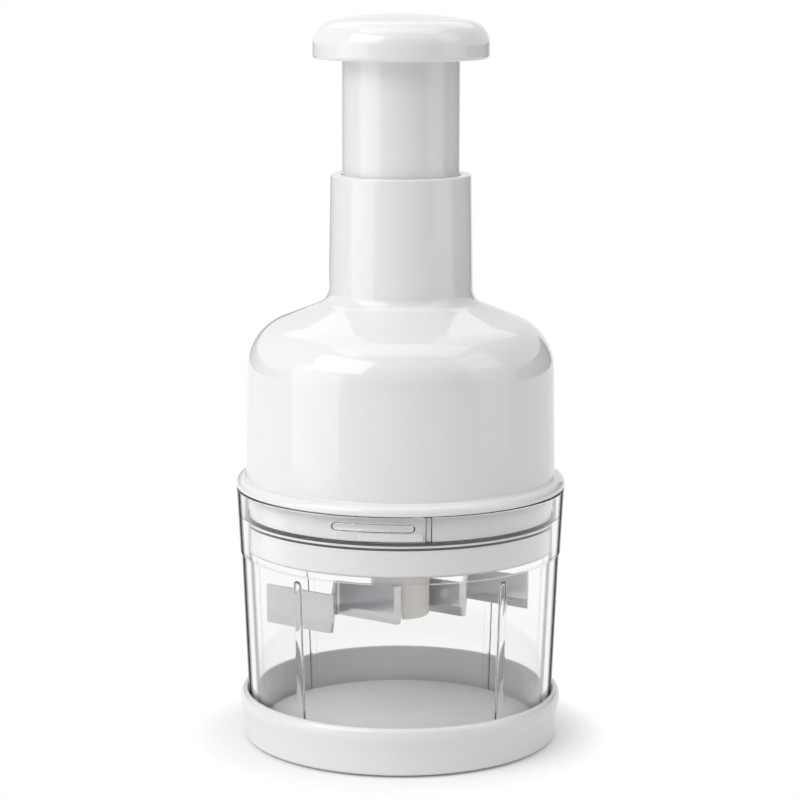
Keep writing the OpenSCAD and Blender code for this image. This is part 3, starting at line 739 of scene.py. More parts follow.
@dataclass(frozen=True)
class Finish:
    """What every finish has: its slot, its colour, two ends of roughness and the depth of its relief."""

    slot: Slot
    color: Rgb
    smooth: float
    rough: float
    depth: float

    def build(self, effects: Effects) -> Material:
        """Makes the material.

        Args:
            effects: The shared shader groups.

        Returns:
            The finished material.
        """
        material, wiring = blank_material(self.slot.value + "_finish")
        shader = wiring.put("ShaderNodeBsdfPrincipled")
        surface = self.dress(wiring, shader, effects)
        wiring.put("ShaderNodeOutputMaterial", {"Surface": surface.outputs[0]})
        return material

    def dress(self, wiring: Wiring, shader: Node, effects: Effects) -> Node:
        """Feeds the main shader in the way of one kind of finish.

        Args:
            wiring: Node tree of the material.
            shader: Its main shader.
            effects: The shared shader groups.

        Returns:
            The shader that the surface shows.
        """
        raise NotImplementedError

    def relief(self, wiring: Wiring, shader: Node, height: NodeSocket) -> None:
        """Lets a height from 0 to 1 stand up by the finish's depth."""
        inputs = {"Height": height, "Strength": 1.0, "Distance": self.depth * MM}
        wiring.feed(shader.inputs["Normal"], wiring.out("ShaderNodeBump", inputs))

    def gloss(self, wiring: Wiring, share: NodeSocket) -> NodeSocket:
        """Roughness between the finish's two ends."""
        return wiring.ramp(share, 0.0, 1.0, self.smooth, self.rough)


@dataclass(frozen=True)
class Moulded(Finish):
    """What every finish out of a mould has: fine grain on slow waves."""

    grain: float
    wave: float

    def skin(self, wiring: Wiring, shader: Node, effects: Effects) -> Node:
        """Places the moulded skin and gives the shader its relief."""
        scales = {"Grain Scale": 1 / (self.grain * MM), "Wave Scale": 1 / (self.wave * MM)}
        skin = wiring.put("ShaderNodeGroup", scales, node_tree=effects.skin)
        self.relief(wiring, shader, skin.outputs["Height"])
        return skin


@dataclass(frozen=True)
class MouldedPlastic(Moulded):
    """Opaque moulded plastic: faint clouds, uneven gloss, hair scratches."""

    shade: Rgb
    scratch_size: float = 22.0
    scratch_width: float = 0.006
    scratch_rough: float = 0.1

    def dress(self, wiring: Wiring, shader: Node, effects: Effects) -> Node:
        """Clouds between two colours, and scratches that dull the gloss."""
        skin = self.skin(wiring, shader, effects)
        values = {"Scale": 1 / (self.scratch_size * MM), "Width": self.scratch_width}
        scratches = wiring.put("ShaderNodeGroup", values, node_tree=effects.scratches).outputs["Mask"]
        color = wiring.mix(skin.outputs["Tone"], self.color, self.shade)
        dull = wiring.math("MULTIPLY", scratches, self.scratch_rough)
        worn = wiring.math("ADD", self.gloss(wiring, skin.outputs["Gloss"]), dull)
        wiring.fill(shader, {"Base Color": color, "Roughness": worn})
        return shader


@dataclass(frozen=True)
class ClearPlastic(Moulded):
    """Clear moulded plastic with painted dark lines just inside its outline and round the details in its
    wall: painted shade that stands in for dark refraction in the thick wall.

    How side-on a surface is seen goes from 0 to 1. The outline's line rises, peaks and falls again
    to a rest; the inner lines only rise, on surfaces that a look leaves the plastic through.
    """

    # Colour of the painted dark lines: painted shade.
    painted_line_shade: Rgb
    veil: Rgb
    ior: float = 1.49
    edge_start: float = 0.76
    edge_peak: float = 0.85
    edge_end: float = 0.94
    edge_rest: float = 0.3
    inner_start: float = 0.35
    inner_peak: float = 0.6
    inner_depth: float = 0.75

    def lines(self, wiring: Wiring) -> NodeSocket:
        """Mask of the painted dark lines, painted shade that stands in for dark refraction."""
        facing = wiring.put("ShaderNodeLayerWeight", {"Blend": 0.5}).outputs["Facing"]
        rise = wiring.ramp(facing, self.edge_start, self.edge_peak, 0.0, 1.0)
        fall = wiring.ramp(facing, self.edge_peak, self.edge_end, 1.0, self.edge_rest)
        leaving = wiring.put("ShaderNodeNewGeometry").outputs["Backfacing"]
        inner = wiring.ramp(facing, self.inner_start, self.inner_peak, 0.0, self.inner_depth)
        inner = wiring.math("MULTIPLY", leaving, inner)
        return wiring.math("MAXIMUM", wiring.math("MULTIPLY", rise, fall), inner)

    def dress(self, wiring: Wiring, shader: Node, effects: Effects) -> Node:
        """Clear with painted dark lines (painted shade), and a thin veil for shadows."""
        skin = self.skin(wiring, shader, effects)
        edge = self.lines(wiring)
        # The base colour darkens along the painted dark lines: painted shade.
        color = wiring.mix(edge, self.color, self.painted_line_shade)
        gloss = self.gloss(wiring, skin.outputs["Gloss"])
        wiring.fill(shader, {"Base Color": color, "Roughness": gloss})
        wiring.fill(shader, {"Transmission Weight": 1.0, "IOR": self.ior})
        # A dark see-through shader on the painted lines: painted shade that stands in for dark refraction.
        dark = wiring.put("ShaderNodeBsdfTransparent", {"Color": (*self.painted_line_shade, 1.0)})
        through = wiring.put("ShaderNodeBsdfTransparent", {"Color": (*self.veil, 1.0)})
        shadow = wiring.put("ShaderNodeLightPath").outputs["Is Shadow Ray"]
        return wiring.blend(shadow, wiring.blend(edge, shader, dark), through)


@dataclass(frozen=True)
class SoftRubber(Moulded):
    """Matt rubber with a pale bloom and rubbed patches."""

    bloom: Rgb
    sheen: float = 0.3

    def dress(self, wiring: Wiring, shader: Node, effects: Effects) -> Node:
        """Bloom in clouds over a dull skin."""
        skin = self.skin(wiring, shader, effects)
        color = wiring.mix(skin.outputs["Tone"], self.color, self.bloom)
        gloss = self.gloss(wiring, skin.outputs["Gloss"])
        wiring.fill(shader, {"Base Color": color, "Roughness": gloss, "Specular IOR Level": self.sheen})
        return shader


@dataclass(frozen=True)
class DrawnSteel(Finish):
    """Steel with fine lines from grinding or drawing."""

    shade: Rgb
    grain: Grain
    line: float

    def dress(self, wiring: Wiring, shader: Node, effects: Effects) -> Node:
        """Lines in tone, gloss and relief."""
        values = {"Scale": 1 / (self.line * MM), "Direction": self.grain.value}
        lines = wiring.put("ShaderNodeGroup", values, node_tree=effects.lines)
        tone = lines.outputs["Tone"]
        color = wiring.mix(tone, self.color, self.shade)
        wiring.fill(shader, {"Base Color": color, "Roughness": self.gloss(wiring, tone), "Metallic": 1.0})
        self.relief(wiring, shader, lines.outputs["Height"])
        return shader


FINISHES = (
    MouldedPlastic(Slot.WHITE, (0.802, 0.802, 0.813), smooth=0.045, rough=0.07, depth=0.004, grain=0.5,
                   wave=16.0, shade=(0.789, 0.789, 0.801)),
    # Clear plastic: its dark line colour is painted shade for dark refraction in the wall.
    ClearPlastic(Slot.CLEAR, (0.97, 0.975, 0.975), smooth=0.0, rough=0.02, depth=0.003, grain=1.8, wave=18.0,
                 painted_line_shade=(0.03, 0.032, 0.034), veil=(0.93, 0.935, 0.935)),
    # Post: its warm tint is partly painted warm bounce light, over a paler cream plastic.
    MouldedPlastic(Slot.POST, (0.80, 0.75, 0.70), smooth=0.24, rough=0.34, depth=0.01, grain=0.4, wave=9.0,
                   shade=(0.77, 0.72, 0.67)),
    MouldedPlastic(Slot.BOARD, (0.74, 0.74, 0.72), smooth=0.42, rough=0.55, depth=0.03, grain=0.35, wave=5.0,
                   shade=(0.70, 0.70, 0.675), scratch_size=14.0, scratch_width=0.012),
    MouldedPlastic(Slot.DRIVE, (0.69, 0.675, 0.61), smooth=0.38, rough=0.5, depth=0.015, grain=0.35, wave=6.0,
                   shade=(0.64, 0.625, 0.56)),
    SoftRubber(Slot.RUBBER, (0.022, 0.023, 0.025), smooth=0.55, rough=0.75, depth=0.02, grain=0.3, wave=4.0,
               bloom=(0.04, 0.041, 0.043)),
    DrawnSteel(Slot.BLADE, (0.62, 0.63, 0.64), smooth=0.16, rough=0.3, depth=0.006,
               shade=(0.54, 0.55, 0.56), grain=Grain.LEVEL, line=0.35),
    DrawnSteel(Slot.HARDWARE, (0.56, 0.57, 0.58), smooth=0.25, rough=0.42, depth=0.01,
               shade=(0.47, 0.48, 0.49), grain=Grain.EVEN, line=0.8),
    DrawnSteel(Slot.SPRING, (0.50, 0.51, 0.52), smooth=0.22, rough=0.36, depth=0.006,
               shade=(0.41, 0.42, 0.43), grain=Grain.LEVEL, line=0.5),
)


@dataclass
class Workshop:
    """Materials by slot, and the geometry trees."""

    materials: dict[Slot, Material] = field(default_factory=dict)
    ring: NodeTree = field(default_factory=ring_tree)
    coil: NodeTree = field(default_factory=coil_tree)
    zigzag: NodeTree = field(default_factory=zigzag_tree)

    def mix_finishes(self) -> None:
        """Builds every finish."""
        effects = Effects.make()
        for finish in FINISHES:
            self.materials[finish.slot] = finish.build(effects)

    def dress_nodes(self) -> None:
        """Gives every frame node the finish of its slot in the record."""
        for subpart in frame["record"]["subparts"]:
            node = frame["nodes"][subpart["node"]]
            for place in node.material_slots:
                place.material = self.materials[Slot(subpart["material_slot"])]

    def finish(self, piece: Object, body: Body, slot: Slot, *nodes: str) -> None:
        """Paints a piece, makes it part of the chopper and reports it.

        Args:
            piece: The finished object.
            body: Body that it rides on.
            slot: Material slot that it takes its finish from.
            *nodes: Frame nodes that it stands for.
        """
        paint(piece, self.materials[slot])
        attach(piece, body.value)
        if nodes:
            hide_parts(*nodes)
        log.info("%s rides on %s and stands for %s", piece.name, body.value, ", ".join(nodes) or "no node")

    def round_copies(self, name: str, piece: Object, count: int, start: float, slot: Slot) -> Object:
        """Copies a piece round the axis and deletes the pattern piece.

        Args:
            name: Name of the object.
            piece: Piece that faces the front.
            count: Number of copies.
            start: Angle of the first copy.
            slot: Slot of the finish.

        Returns:
            One object with all copies.
        """
        values = {"Piece": piece, "Count": count, "Start": math.radians(start),
                  "Material": self.materials[slot]}
        copies = grow(name, self.ring, values)
        discard(piece)
        return copies


# The chopper


@dataclass
class BaseCap:
    """White cap under the bowl, with its foot ring and its board."""

    shop: Workshop
    taper: float = 1.5
    bottom_edge: float = 1.2
    flare_w: float = 0.975
    flare_r: float = 12.0
    lip_h: float = 7.4
    lip_wall: float = 2.2
    land_h: float = 3.4
    land_r: float = 4.0
    lip_edge_w: float = 1.6
    lip_edge_h: float = 2.8
    inner_edge: float = 0.4
    inner_taper: float = 0.5
    floor_t: float = 2.4
    floor_edge: float = 0.8
    foot_w: float = 5.0
    foot_sunk: float = 1.2
    sole_edge: float = 0.35
    groove_w: float = 0.7
    groove_depth: float = 0.35
    groove_edge: float = 0.1
    board_edge: float = 0.6

    def build(self) -> None:
        """Makes the cap, the foot ring and the board."""
        self.cap()
        self.foot_ring()
        self.board()

    def cap(self) -> None:
        """Turns the cap, with the groove for the foot ring."""
        cap = Span.of("base_cap")
        groove_out = Span.of("foot_ring").r
        groove_in = groove_out - self.foot_w
        groove_z = cap.low + self.foot_sunk
        inner_r = cap.r - self.lip_wall
        floor_z = cap.low + self.floor_t
        lip_edge = Bend(cap.r - self.lip_edge_w, cap.high - self.lip_edge_h, self.lip_edge_w,
                        self.lip_edge_h, 0.0, 90.0)
        outline = [
            Corner(0.0, cap.low), Corner(groove_in, cap.low), Corner(groove_in, groove_z),
            Corner(groove_out, groove_z), Corner(groove_out, cap.low),
            Corner(cap.r - self.taper, cap.low, self.bottom_edge),
            Corner(cap.r - self.flare_w, cap.high - self.lip_h, self.flare_r),
            Corner(cap.r, cap.high - self.land_h, self.land_r), lip_edge,
            Corner(inner_r, cap.high, self.inner_edge),
            Corner(inner_r - self.inner_taper, floor_z, self.floor_edge), Corner(0.0, floor_z)]
        piece = lathe("base_cap_body", outline, closed=False)
        self.shop.finish(piece, Body.BASE, Slot.WHITE, "base_cap")

    def foot_ring(self) -> None:
        """Turns the foot ring, with two grip grooves in its sole."""
        ring = Span.of("foot_ring")
        inner = ring.r - self.foot_w
        groove_z = ring.low + self.groove_depth
        half = self.groove_w / 2
        sole = []
        for share in (1 / 3, 2 / 3):
            middle = inner + self.foot_w * share
            sole += corners(self.groove_edge, (middle - half, ring.low), (middle - half / 2, groove_z),
                            (middle + half / 2, groove_z), (middle + half, ring.low))
        outline = [Corner(inner, ring.low, self.sole_edge), *sole, Corner(ring.r, ring.low, self.sole_edge),
                   Corner(ring.r, ring.high), Corner(inner, ring.high)]
        self.shop.finish(lathe("foot_ring_body", outline), Body.BASE, Slot.RUBBER, "foot_ring")

    def board(self) -> None:
        """Turns the board that the blade lands on."""
        board = Span.of("cutting_board")
        outline = [Corner(0.0, board.low), Corner(board.r, board.low),
                   Corner(board.r, board.high, self.board_edge), Corner(0.0, board.high)]
        piece = lathe("cutting_board_body", outline, closed=False)
        self.shop.finish(piece, Body.BASE, Slot.BOARD, "cutting_board")


@dataclass
class ClearBowl:
    """Clear bowl, open at both ends, with ribs, bayonet lugs and stop ribs moulded in."""

    shop: Workshop
    collar_h: float = 20.0
    collar_taper: float = 1.0
    collar_wall: float = 2.7
    step: float = 0.4
    step_edge: float = 0.19
    taper: float = 2.3
    wall: float = 2.4
    foot_edge: float = 0.3
    rim_r: float = 0.5
    seat_gap: float = 0.4
    seat_edge: float = 0.04
    ledge_drop: float = 8.0
    ledge_edge: float = 0.25
    rib_r: float = 1.5
    rib_sunk: float = 0.5
    rib_drop: float = 1.8
    rib_angle: float = 40.0
    rib_edge: float = 0.1
    rib_steps: int = 32
    root: float = 0.5
    lug_count: int = 3
    lug_drop: float = 4.7
    lug_h: float = 2.4
    lug_out: float = 1.2
    lug_span: float = 29.8
    lug_angle: float = -9.8
    lug_edge: float = 0.9
    stop_lead: float = 4.8
    stop_span: float = 1.8
    stop_gap: float = 0.1
    stop_edge: float = 0.2
    crease_angle: float = 35.0

    def __post_init__(self) -> None:
        """Reads the bowl's place and works out its radii."""
        self.place = Span.of("bowl")
        self.collar_z = self.place.high - self.collar_h
        self.ledge_z = self.place.high - self.ledge_drop
        self.mid_r = self.place.r - self.collar_taper - self.step
        self.foot_r = self.mid_r - self.taper
        self.collar_in_r = self.place.r - self.collar_wall
        self.seat_r = Span.of("guard_cup").r + self.seat_gap

    def build(self) -> None:
        """Turns the wall and joins the moulded details to it."""
        wall = lathe("bowl_body", self.outline(), steps=2 * ROUND_STEPS)
        details = join("bowl_details", [*self.ribs(), self.lugs(), self.stop_ribs()])
        union = wall.modifiers.new("details", "BOOLEAN")
        union.operation = "UNION"
        union.solver = "EXACT"
        union.object = details
        settle(wall)
        discard(details)
        crease(wall, self.crease_angle)
        self.shop.finish(wall, Body.BOWL, Slot.CLEAR, "bowl")

    def outline(self) -> Outline:
        """Section of the wall."""
        bowl = self.place
        return [
            *corners(self.foot_edge, (self.foot_r - self.wall, bowl.low), (self.foot_r, bowl.low)),
            *corners(self.step_edge, (self.mid_r, self.collar_z), (self.mid_r + self.step, self.collar_z)),
            *corners(self.rim_r, (bowl.r, bowl.high), (self.collar_in_r, bowl.high)),
            *corners(self.ledge_edge, (self.collar_in_r, self.ledge_z), (self.seat_r, self.ledge_z)),
            *corners(self.seat_edge, (self.seat_r, self.collar_z), (self.mid_r - self.wall, self.collar_z))]

    def ribs(self) -> list[Object]:
        """Four upright ribs that lean with the wall and end in round tips."""
        low = self.place.low + self.root
        high = self.collar_z - self.rib_r - self.rib_drop
        lean = math.atan2(self.taper, self.collar_z - self.place.low)
        foot_r = self.foot_r - self.wall + self.rib_sunk + self.root * math.tan(lean)
        length = (high - low) / math.cos(lean)
        outline = [Corner(0.0, 0.0), Corner(self.rib_r, 0.0, self.rib_edge),
                   Bend(0.0, length, self.rib_r, self.rib_r, 0.0, 90.0)]
        place = Matrix.Translation(Vector((0.0, -foot_r, low)) * MM) @ Matrix.Rotation(lean, 4, "X")
        pairs = []
        for side in (-1, 1):
            rib = lathe("bowl_rib", outline, closed=False, steps=self.rib_steps)
            rib.data.transform(place)
            pairs.append(self.shop.round_copies("bowl_ribs", rib, 2, side * self.rib_angle, Slot.CLEAR))
        return pairs

    def lugs(self) -> Object:
        """Level lugs with round ends inside the collar."""
        low = self.place.high - self.lug_drop
        lug = BentPad(self.collar_in_r - self.lug_out, self.collar_in_r + self.root, self.lug_span, low,
                      low + self.lug_h, self.lug_h / 2, self.lug_edge).build("bowl_lug")
        return self.shop.round_copies("bowl_lugs", lug, self.lug_count, self.lug_angle, Slot.CLEAR)

    def stop_ribs(self) -> Object:
        """Upright ribs beside the lugs, from the ledge to just under the rim."""
        stop = BentPad(self.seat_r + self.stop_gap, self.collar_in_r + self.root, self.stop_span,
                       self.ledge_z - self.root, self.place.high - self.root, self.stop_edge,
                       self.stop_edge).build("stop_rib")
        angle = self.lug_angle + self.lug_span / 2 + self.stop_lead
        return self.shop.round_copies("stop_ribs", stop, self.lug_count, angle, Slot.CLEAR)


@dataclass(frozen=True)
class Shoulder:
    """Round at the top of a bell and the slope above it."""

    middle_r: float
    middle_z: float
    rounding: float
    slope: float
    steps: int = 32

    @property
    def end(self) -> float:
        """Angle at which the round runs on into the slope."""
        return 90.0 - self.slope

    def slope_z(self, r: float) -> float:
        """Height of the slope at a radius."""
        tilt = math.radians(self.slope)
        edge_r = self.middle_r + self.rounding * math.sin(tilt)
        return self.middle_z + self.rounding * math.cos(tilt) + (edge_r - r) * math.tan(tilt)

    def bend(self, first: float, last: float) -> Bend:
        """Stretch of the round between two angles."""
        return Bend(self.middle_r, self.middle_z, self.rounding, self.rounding, first, last, self.steps)

    def fillet(self, wall_r: float, rounding: float) -> Bend:
        """Round from the slope into an upright wall at a radius."""
        tilt = math.radians(self.slope)
        middle_r = wall_r + rounding
        middle_z = self.slope_z(middle_r - rounding * math.sin(tilt)) + rounding * math.cos(tilt)
        return Bend(middle_r, middle_z, rounding, rounding, 270.0 - self.slope, 180.0)


@dataclass
class Housing:
    """White housing: spigot, flange, bell, shoulder and neck, with the bayonet lugs."""

    shop: Workshop
    spigot_h: float = 8.2
    spigot_edge: float = 0.4
    spigot_in_edge: float = 0.3
    flange_h: float = 3.7
    flange_w: float = 3.1
    flange_edge: float = 0.5
    flange_land: float = 0.6
    cove_r: float = 0.6
    cove_gap: float = 0.05
    bell_h: float = 36.0
    bell_draft: float = 0.6
    shoulder_r: float = 16.0
    slope: float = 22.0
    fillet_r: float = 5.0
    wall: float = 2.4
    hollow_h: float = 34.9
    hollow_shoulder_r: float = 15.6
    hollow_slope: float = 17.0
    tube_r: float = 17.65
    slide_gap: float = 0.4
    neck_wall: float = 3.15
    neck_draft: float = 0.6
    neck_rim_r: float = 0.6
    stop_w: float = 4.0
    bead_lift: float = 5.4
    bead_h: float = 1.6
    bead_depth: float = 0.6
    bead_edge: float = 0.1
    lug_count: int = 3
    lug_out: float = 1.2
    lug_h: float = 2.5
    lug_lift: float = 0.4
    lug_span: float = 23.0
    lug_angle: float = -3.5
    lug_end_r: float = 0.5
    lug_edge: float = 0.3
    root: float = 0.5
    steps: int = 256
    crease_angle: float = 40.0

    def __post_init__(self) -> None:
        """Reads the housing's place and works out its radii and heights."""
        self.place = Span.of("housing")
        self.spigot_r = Span.of("guard_cup").r
        self.spigot_in_r = self.spigot_r - self.wall
        self.flange_z = self.place.low + self.spigot_h
        self.flange_top = self.flange_z + self.flange_h
        self.bell_foot_r = self.place.r - self.flange_w
        bell_top_r = self.bell_foot_r - self.bell_draft
        self.skin = Shoulder(bell_top_r - self.shoulder_r, self.flange_z + self.bell_h, self.shoulder_r,
                             self.slope)
        self.hollow = Shoulder(bell_top_r - self.wall - self.hollow_shoulder_r, self.flange_z + self.hollow_h,
                               self.hollow_shoulder_r, self.hollow_slope)

    def build(self) -> None:
        """Turns the shell and adds the lugs."""
        self.shell()
        self.lugs()

    def shell(self) -> None:
        """Turns the shell in one piece, from the spigot up to the neck's rim and down inside."""
        low, top = self.place.low, self.place.high
        bore_r = self.tube_r + self.slide_gap
        neck_r = bore_r + self.neck_wall
        stop_r = bore_r + self.stop_w
        stop_z = self.hollow.slope_z(stop_r)
        cove_z = self.flange_top - self.cove_r
        edge_z = self.flange_z + self.flange_land
        edge_w = self.flange_w - self.cove_r - self.cove_gap
        outline = [
            Corner(self.spigot_in_r, low, self.spigot_in_edge), Corner(self.spigot_r, low, self.spigot_edge),
            Corner(self.spigot_r, self.flange_z), Corner(self.place.r, self.flange_z, self.flange_edge),
            Bend(self.place.r - edge_w, edge_z, edge_w, cove_z - edge_z, 0.0, 90.0),
            Corner(self.bell_foot_r, cove_z, self.cove_r),
            self.skin.bend(0.0, self.skin.end), self.skin.fillet(neck_r + self.neck_draft, self.fillet_r),
            Corner(neck_r, top, self.neck_rim_r), Corner(bore_r, top, self.neck_rim_r),
            Corner(bore_r, stop_z), Corner(stop_r, stop_z),
            self.hollow.bend(self.hollow.end, 0.0),
            Corner(self.bell_foot_r - self.wall, self.flange_top),
            Corner(self.spigot_in_r, self.flange_top - 2 * self.cove_r),
            *self.bead_groove()]
        piece = lathe("housing_body", outline, steps=self.steps)
        self.shop.finish(piece, Body.HOUSING, Slot.WHITE, "housing")

    def bead_groove(self) -> list[Corner]:
        """Groove inside the spigot that the guard cup snaps into."""
        low = self.place.low + self.bead_lift
        high = low + self.bead_h
        inner = self.spigot_in_r
        outer = inner + self.bead_depth
        return corners(self.bead_edge, (inner, high), (outer, high), (outer, low), (inner, low))

    def lugs(self) -> None:
        """Bayonet lugs round the spigot."""
        low = self.place.low + self.lug_lift
        lug = BentPad(self.spigot_r + self.lug_out, self.spigot_r - self.root, self.lug_span, low,
                      low + self.lug_h, self.lug_end_r, self.lug_edge).build("housing_lug")
        lugs = self.shop.round_copies("housing_lugs", lug, self.lug_count, self.lug_angle, Slot.WHITE)
        crease(lugs, self.crease_angle)
        self.shop.finish(lugs, Body.HOUSING, Slot.WHITE)


@dataclass
class BowlSeal:
    """Seal between the housing and the guard cup: two dark lips and a pale band between them. The dark lips
    are partly the seal's own rubber and partly painted shade for the shaded gaps above and below it.
    """

    shop: Workshop
    width: float = 2.7
    lip_h: float = 0.68
    lip_out: float = 0.8
    lip_share: float = 0.45
    inner_edge: float = 0.1
    band_in: float = 0.12
    band_edge: float = 0.15
    band_in_edge: float = 0.05

    def build(self) -> None:
        """Turns the lips in one piece, and the band."""
        seal = Span.of("bowl_seal")
        inner = seal.r - self.width
        core_r = seal.r - self.lip_out
        low = seal.low + self.lip_h
        high = seal.high - self.lip_h
        lip_r = self.lip_h * self.lip_share
        lips = [Corner(inner, seal.low, self.inner_edge),
                *corners(lip_r, (seal.r, seal.low), (seal.r, low)),
                *corners(self.inner_edge, (core_r, low), (core_r, high)),
                *corners(lip_r, (seal.r, high), (seal.r, seal.high)),
                Corner(inner, seal.high, self.inner_edge)]
        # The dark lips are partly painted shade for the shaded gaps above and below the seal.
        self.shop.finish(lathe("bowl_seal_lips", lips), Body.HOUSING, Slot.RUBBER, "bowl_seal")
        band_r = seal.r - self.band_in
        band = [Corner(core_r, low, self.band_in_edge), Corner(band_r, low, self.band_edge),
                Corner(band_r, high, self.band_edge), Corner(core_r, high, self.band_in_edge)]
        self.shop.finish(lathe("bowl_seal_band", band), Body.HOUSING, Slot.WHITE)


@dataclass
class ReturnSpring:
    """Coil that lifts the plunger; it is pressed together as the plunger goes down."""

    shop: Workshop
    wire: float = 1.5
    end_gap: float = 0.6
    open_turns: float = 9.0
    crease_angle: float = 40.0

    def build(self) -> None:
        """Winds the spring."""
        spring = Span.of("return_spring")
        length = spring.high - spring.low
        values = {"Bottom": spring.low * MM, "Length": length * MM, "Radius": (spring.r - self.wire / 2) * MM,
                  "Wire": self.wire * MM, "End Pitch": (self.wire + self.end_gap) * MM,
                  "Open Turns": self.open_turns, "Material": self.shop.materials[Slot.SPRING]}
        piece = crease(grow("return_spring_coil", self.shop.coil, values), self.crease_angle)
        self.shop.finish(piece, Body.HOUSING, Slot.SPRING, "return_spring")
        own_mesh(piece)


@dataclass
class Knob:
    """Domed knob on top of the plunger."""

    shop: Workshop
    wall: float = 2.3
    sag: float = 0.5
    bottom_edge: float = 1.4
    edge_w: float = 7.0
    edge_h: float = 7.5
    edge_steps: int = 28
    dome: float = 1.8
    dome_steps: int = 16
    roof_t: float = 3.4
    seat_w: float = 5.0
    head_t: float = 2.0
    hollow_edge: float = 0.8
    skirt_edge: float = 0.3

    def build(self) -> None:
        """Turns the knob: a soft edge that runs on into the dome, over a hollow."""
        knob = Span.of("knob_cap")
        inner_r = knob.r - self.wall
        hollow_r = inner_r - self.seat_w
        low = knob.low - self.sag
        ceiling = knob.high - self.roof_t
        seat = knob.low + self.head_t
        flat_r = knob.r - self.edge_w
        edge_z = knob.high - self.dome - self.edge_h
        tilt = 2 * math.atan2(self.dome, flat_r)
        join_angle = math.degrees(math.atan2(self.edge_h, self.edge_w * math.tan(tilt)))
        edge = Bend(flat_r, edge_z, self.edge_w, self.edge_h, 0.0, join_angle, self.edge_steps)
        dome_r = edge.end[0] / math.sin(tilt)
        top = edge.end[1] + dome_r * (1 - math.cos(tilt))
        dome = Bend(0.0, top - dome_r, dome_r, dome_r, 90.0 - math.degrees(tilt), 90.0, self.dome_steps)
        outline = [
            Corner(0.0, ceiling), Corner(hollow_r, ceiling, self.hollow_edge), Corner(hollow_r, seat),
            Corner(inner_r, seat), Corner(inner_r, low, self.skirt_edge),
            Corner(knob.r, low, self.bottom_edge), edge, dome]
        piece = lathe("knob_cap_body", outline, closed=False)
        self.shop.finish(piece, Body.PLUNGER, Slot.WHITE, "knob_cap")


@dataclass
class Blade:
    """Zigzag steel strip with a ground edge."""

    shop: Workshop
    thickness: float = 0.8
    edge: float = 0.15
    bevel: float = 3.0
    chamfer: float = 0.1
    swing: float = 11.0
    reach: float = 41.1
    stretches: int = 7
    fold_r: float = 1.1
    crease_angle: float = 5.0

    def build(self) -> None:
        """Folds the strip to and fro and turns its middle stretch into the post's slot."""
        strip = self.section()
        step = 2 * math.sqrt(self.reach ** 2 - self.swing ** 2) / self.stretches
        lean = math.atan2(2 * self.swing, step)
        values = {"Strip": strip, "Stretches": self.stretches, "Step": step * MM, "Swing": self.swing * MM,
                  "Fold Radius": self.fold_r * MM, "Turn": math.pi / 2 - lean,
                  "Material": self.shop.materials[Slot.BLADE]}
        piece = grow("blade_strip", self.shop.zigzag, values)
        discard(strip)
        crease(piece, self.crease_angle)
        self.shop.finish(piece, Body.BLADE_UNIT, Slot.BLADE, "blade")

    def section(self) -> Object:
        """Section of the strip as a loop of edges, hung down its own Y axis."""
        blade = Span.of("blade")
        half = self.thickness / 2
        side = [(self.edge / 2, blade.low), (half, blade.low + self.bevel), (half, blade.high - self.chamfer),
                (half - self.chamfer, blade.high)]
        points = side + [(-across, z) for across, z in reversed(side)]
        count = len(points)
        mesh = bpy.data.meshes.new("strip_section")
        verts = [(across * MM, -z * MM, 0.0) for across, z in points]
        mesh.from_pydata(verts, [(i, (i + 1) % count) for i in range(count)], [])
        return new_object("strip_section", mesh)


# Studio

WHITE_LIGHT = (1.0, 1.0, 1.0, 1.0)


@dataclass(frozen=True)
class Panel:
    """Flat panel that looks at the chopper from a direction. Lengths are in metres."""

    name: str
    azimuth: float
    elevation: float
    distance: float
    width: float
    height: float
    level: float

    def pose(self, target: Vector) -> Matrix:
        """Place of the panel: its own Z axis points away from the target and its Y axis up."""
        turn = math.radians(self.azimuth)
        lift = math.radians(self.elevation)
        way = Vector((math.sin(turn) * math.cos(lift), -math.cos(turn) * math.cos(lift), math.sin(lift)))
        facing = way.to_track_quat("Z", "Y").to_matrix().to_4x4()
        return Matrix.Translation(target + way * self.distance) @ facing


@dataclass(frozen=True)
class Softbox(Panel):
    """Soft lamp; its level is how bright its face is."""

    def hang(self, target: Vector) -> None:
        """Makes the lamp and aims it at a point."""
        lamp = bpy.data.lights.new(self.name, "AREA")
        lamp.shape = "RECTANGLE"
        lamp.size = self.width
        lamp.size_y = self.height
        lamp.energy = self.level * math.pi * self.width * self.height
        holder = bpy.data.objects.new(self.name, lamp)
        holder.matrix_world = self.pose(target)
        holder.visible_camera = False
        bpy.context.scene.collection.objects.link(holder)


@dataclass(frozen=True)
class Card(Panel):
    """Card beside the picture that shows only in gloss, to set off white edges or to lighten them."""

    def hang(self, target: Vector) -> None:
        """Makes the card and faces it to a point."""
        x = self.width / 2
        y = self.height / 2
        mesh = bpy.data.meshes.new(self.name)
        mesh.from_pydata([(-x, -y, 0.0), (x, -y, 0.0), (x, y, 0.0), (-x, y, 0.0)], [], [(0, 1, 2, 3)])
        mesh.transform(self.pose(target))
        card = new_object(self.name, mesh)
        material, wiring = blank_material(self.name + "_paint")
        material.cycles.emission_sampling = "NONE"
        glow = wiring.out("ShaderNodeEmission", {"Color": WHITE_LIGHT, "Strength": self.level})
        wiring.put("ShaderNodeOutputMaterial", {"Surface": glow})
        paint(card, material)
        card.visible_camera = False
        card.visible_diffuse = False
        card.visible_transmission = False
        card.visible_shadow = False


# Each panel's azimuth, elevation, distance, width, height and level

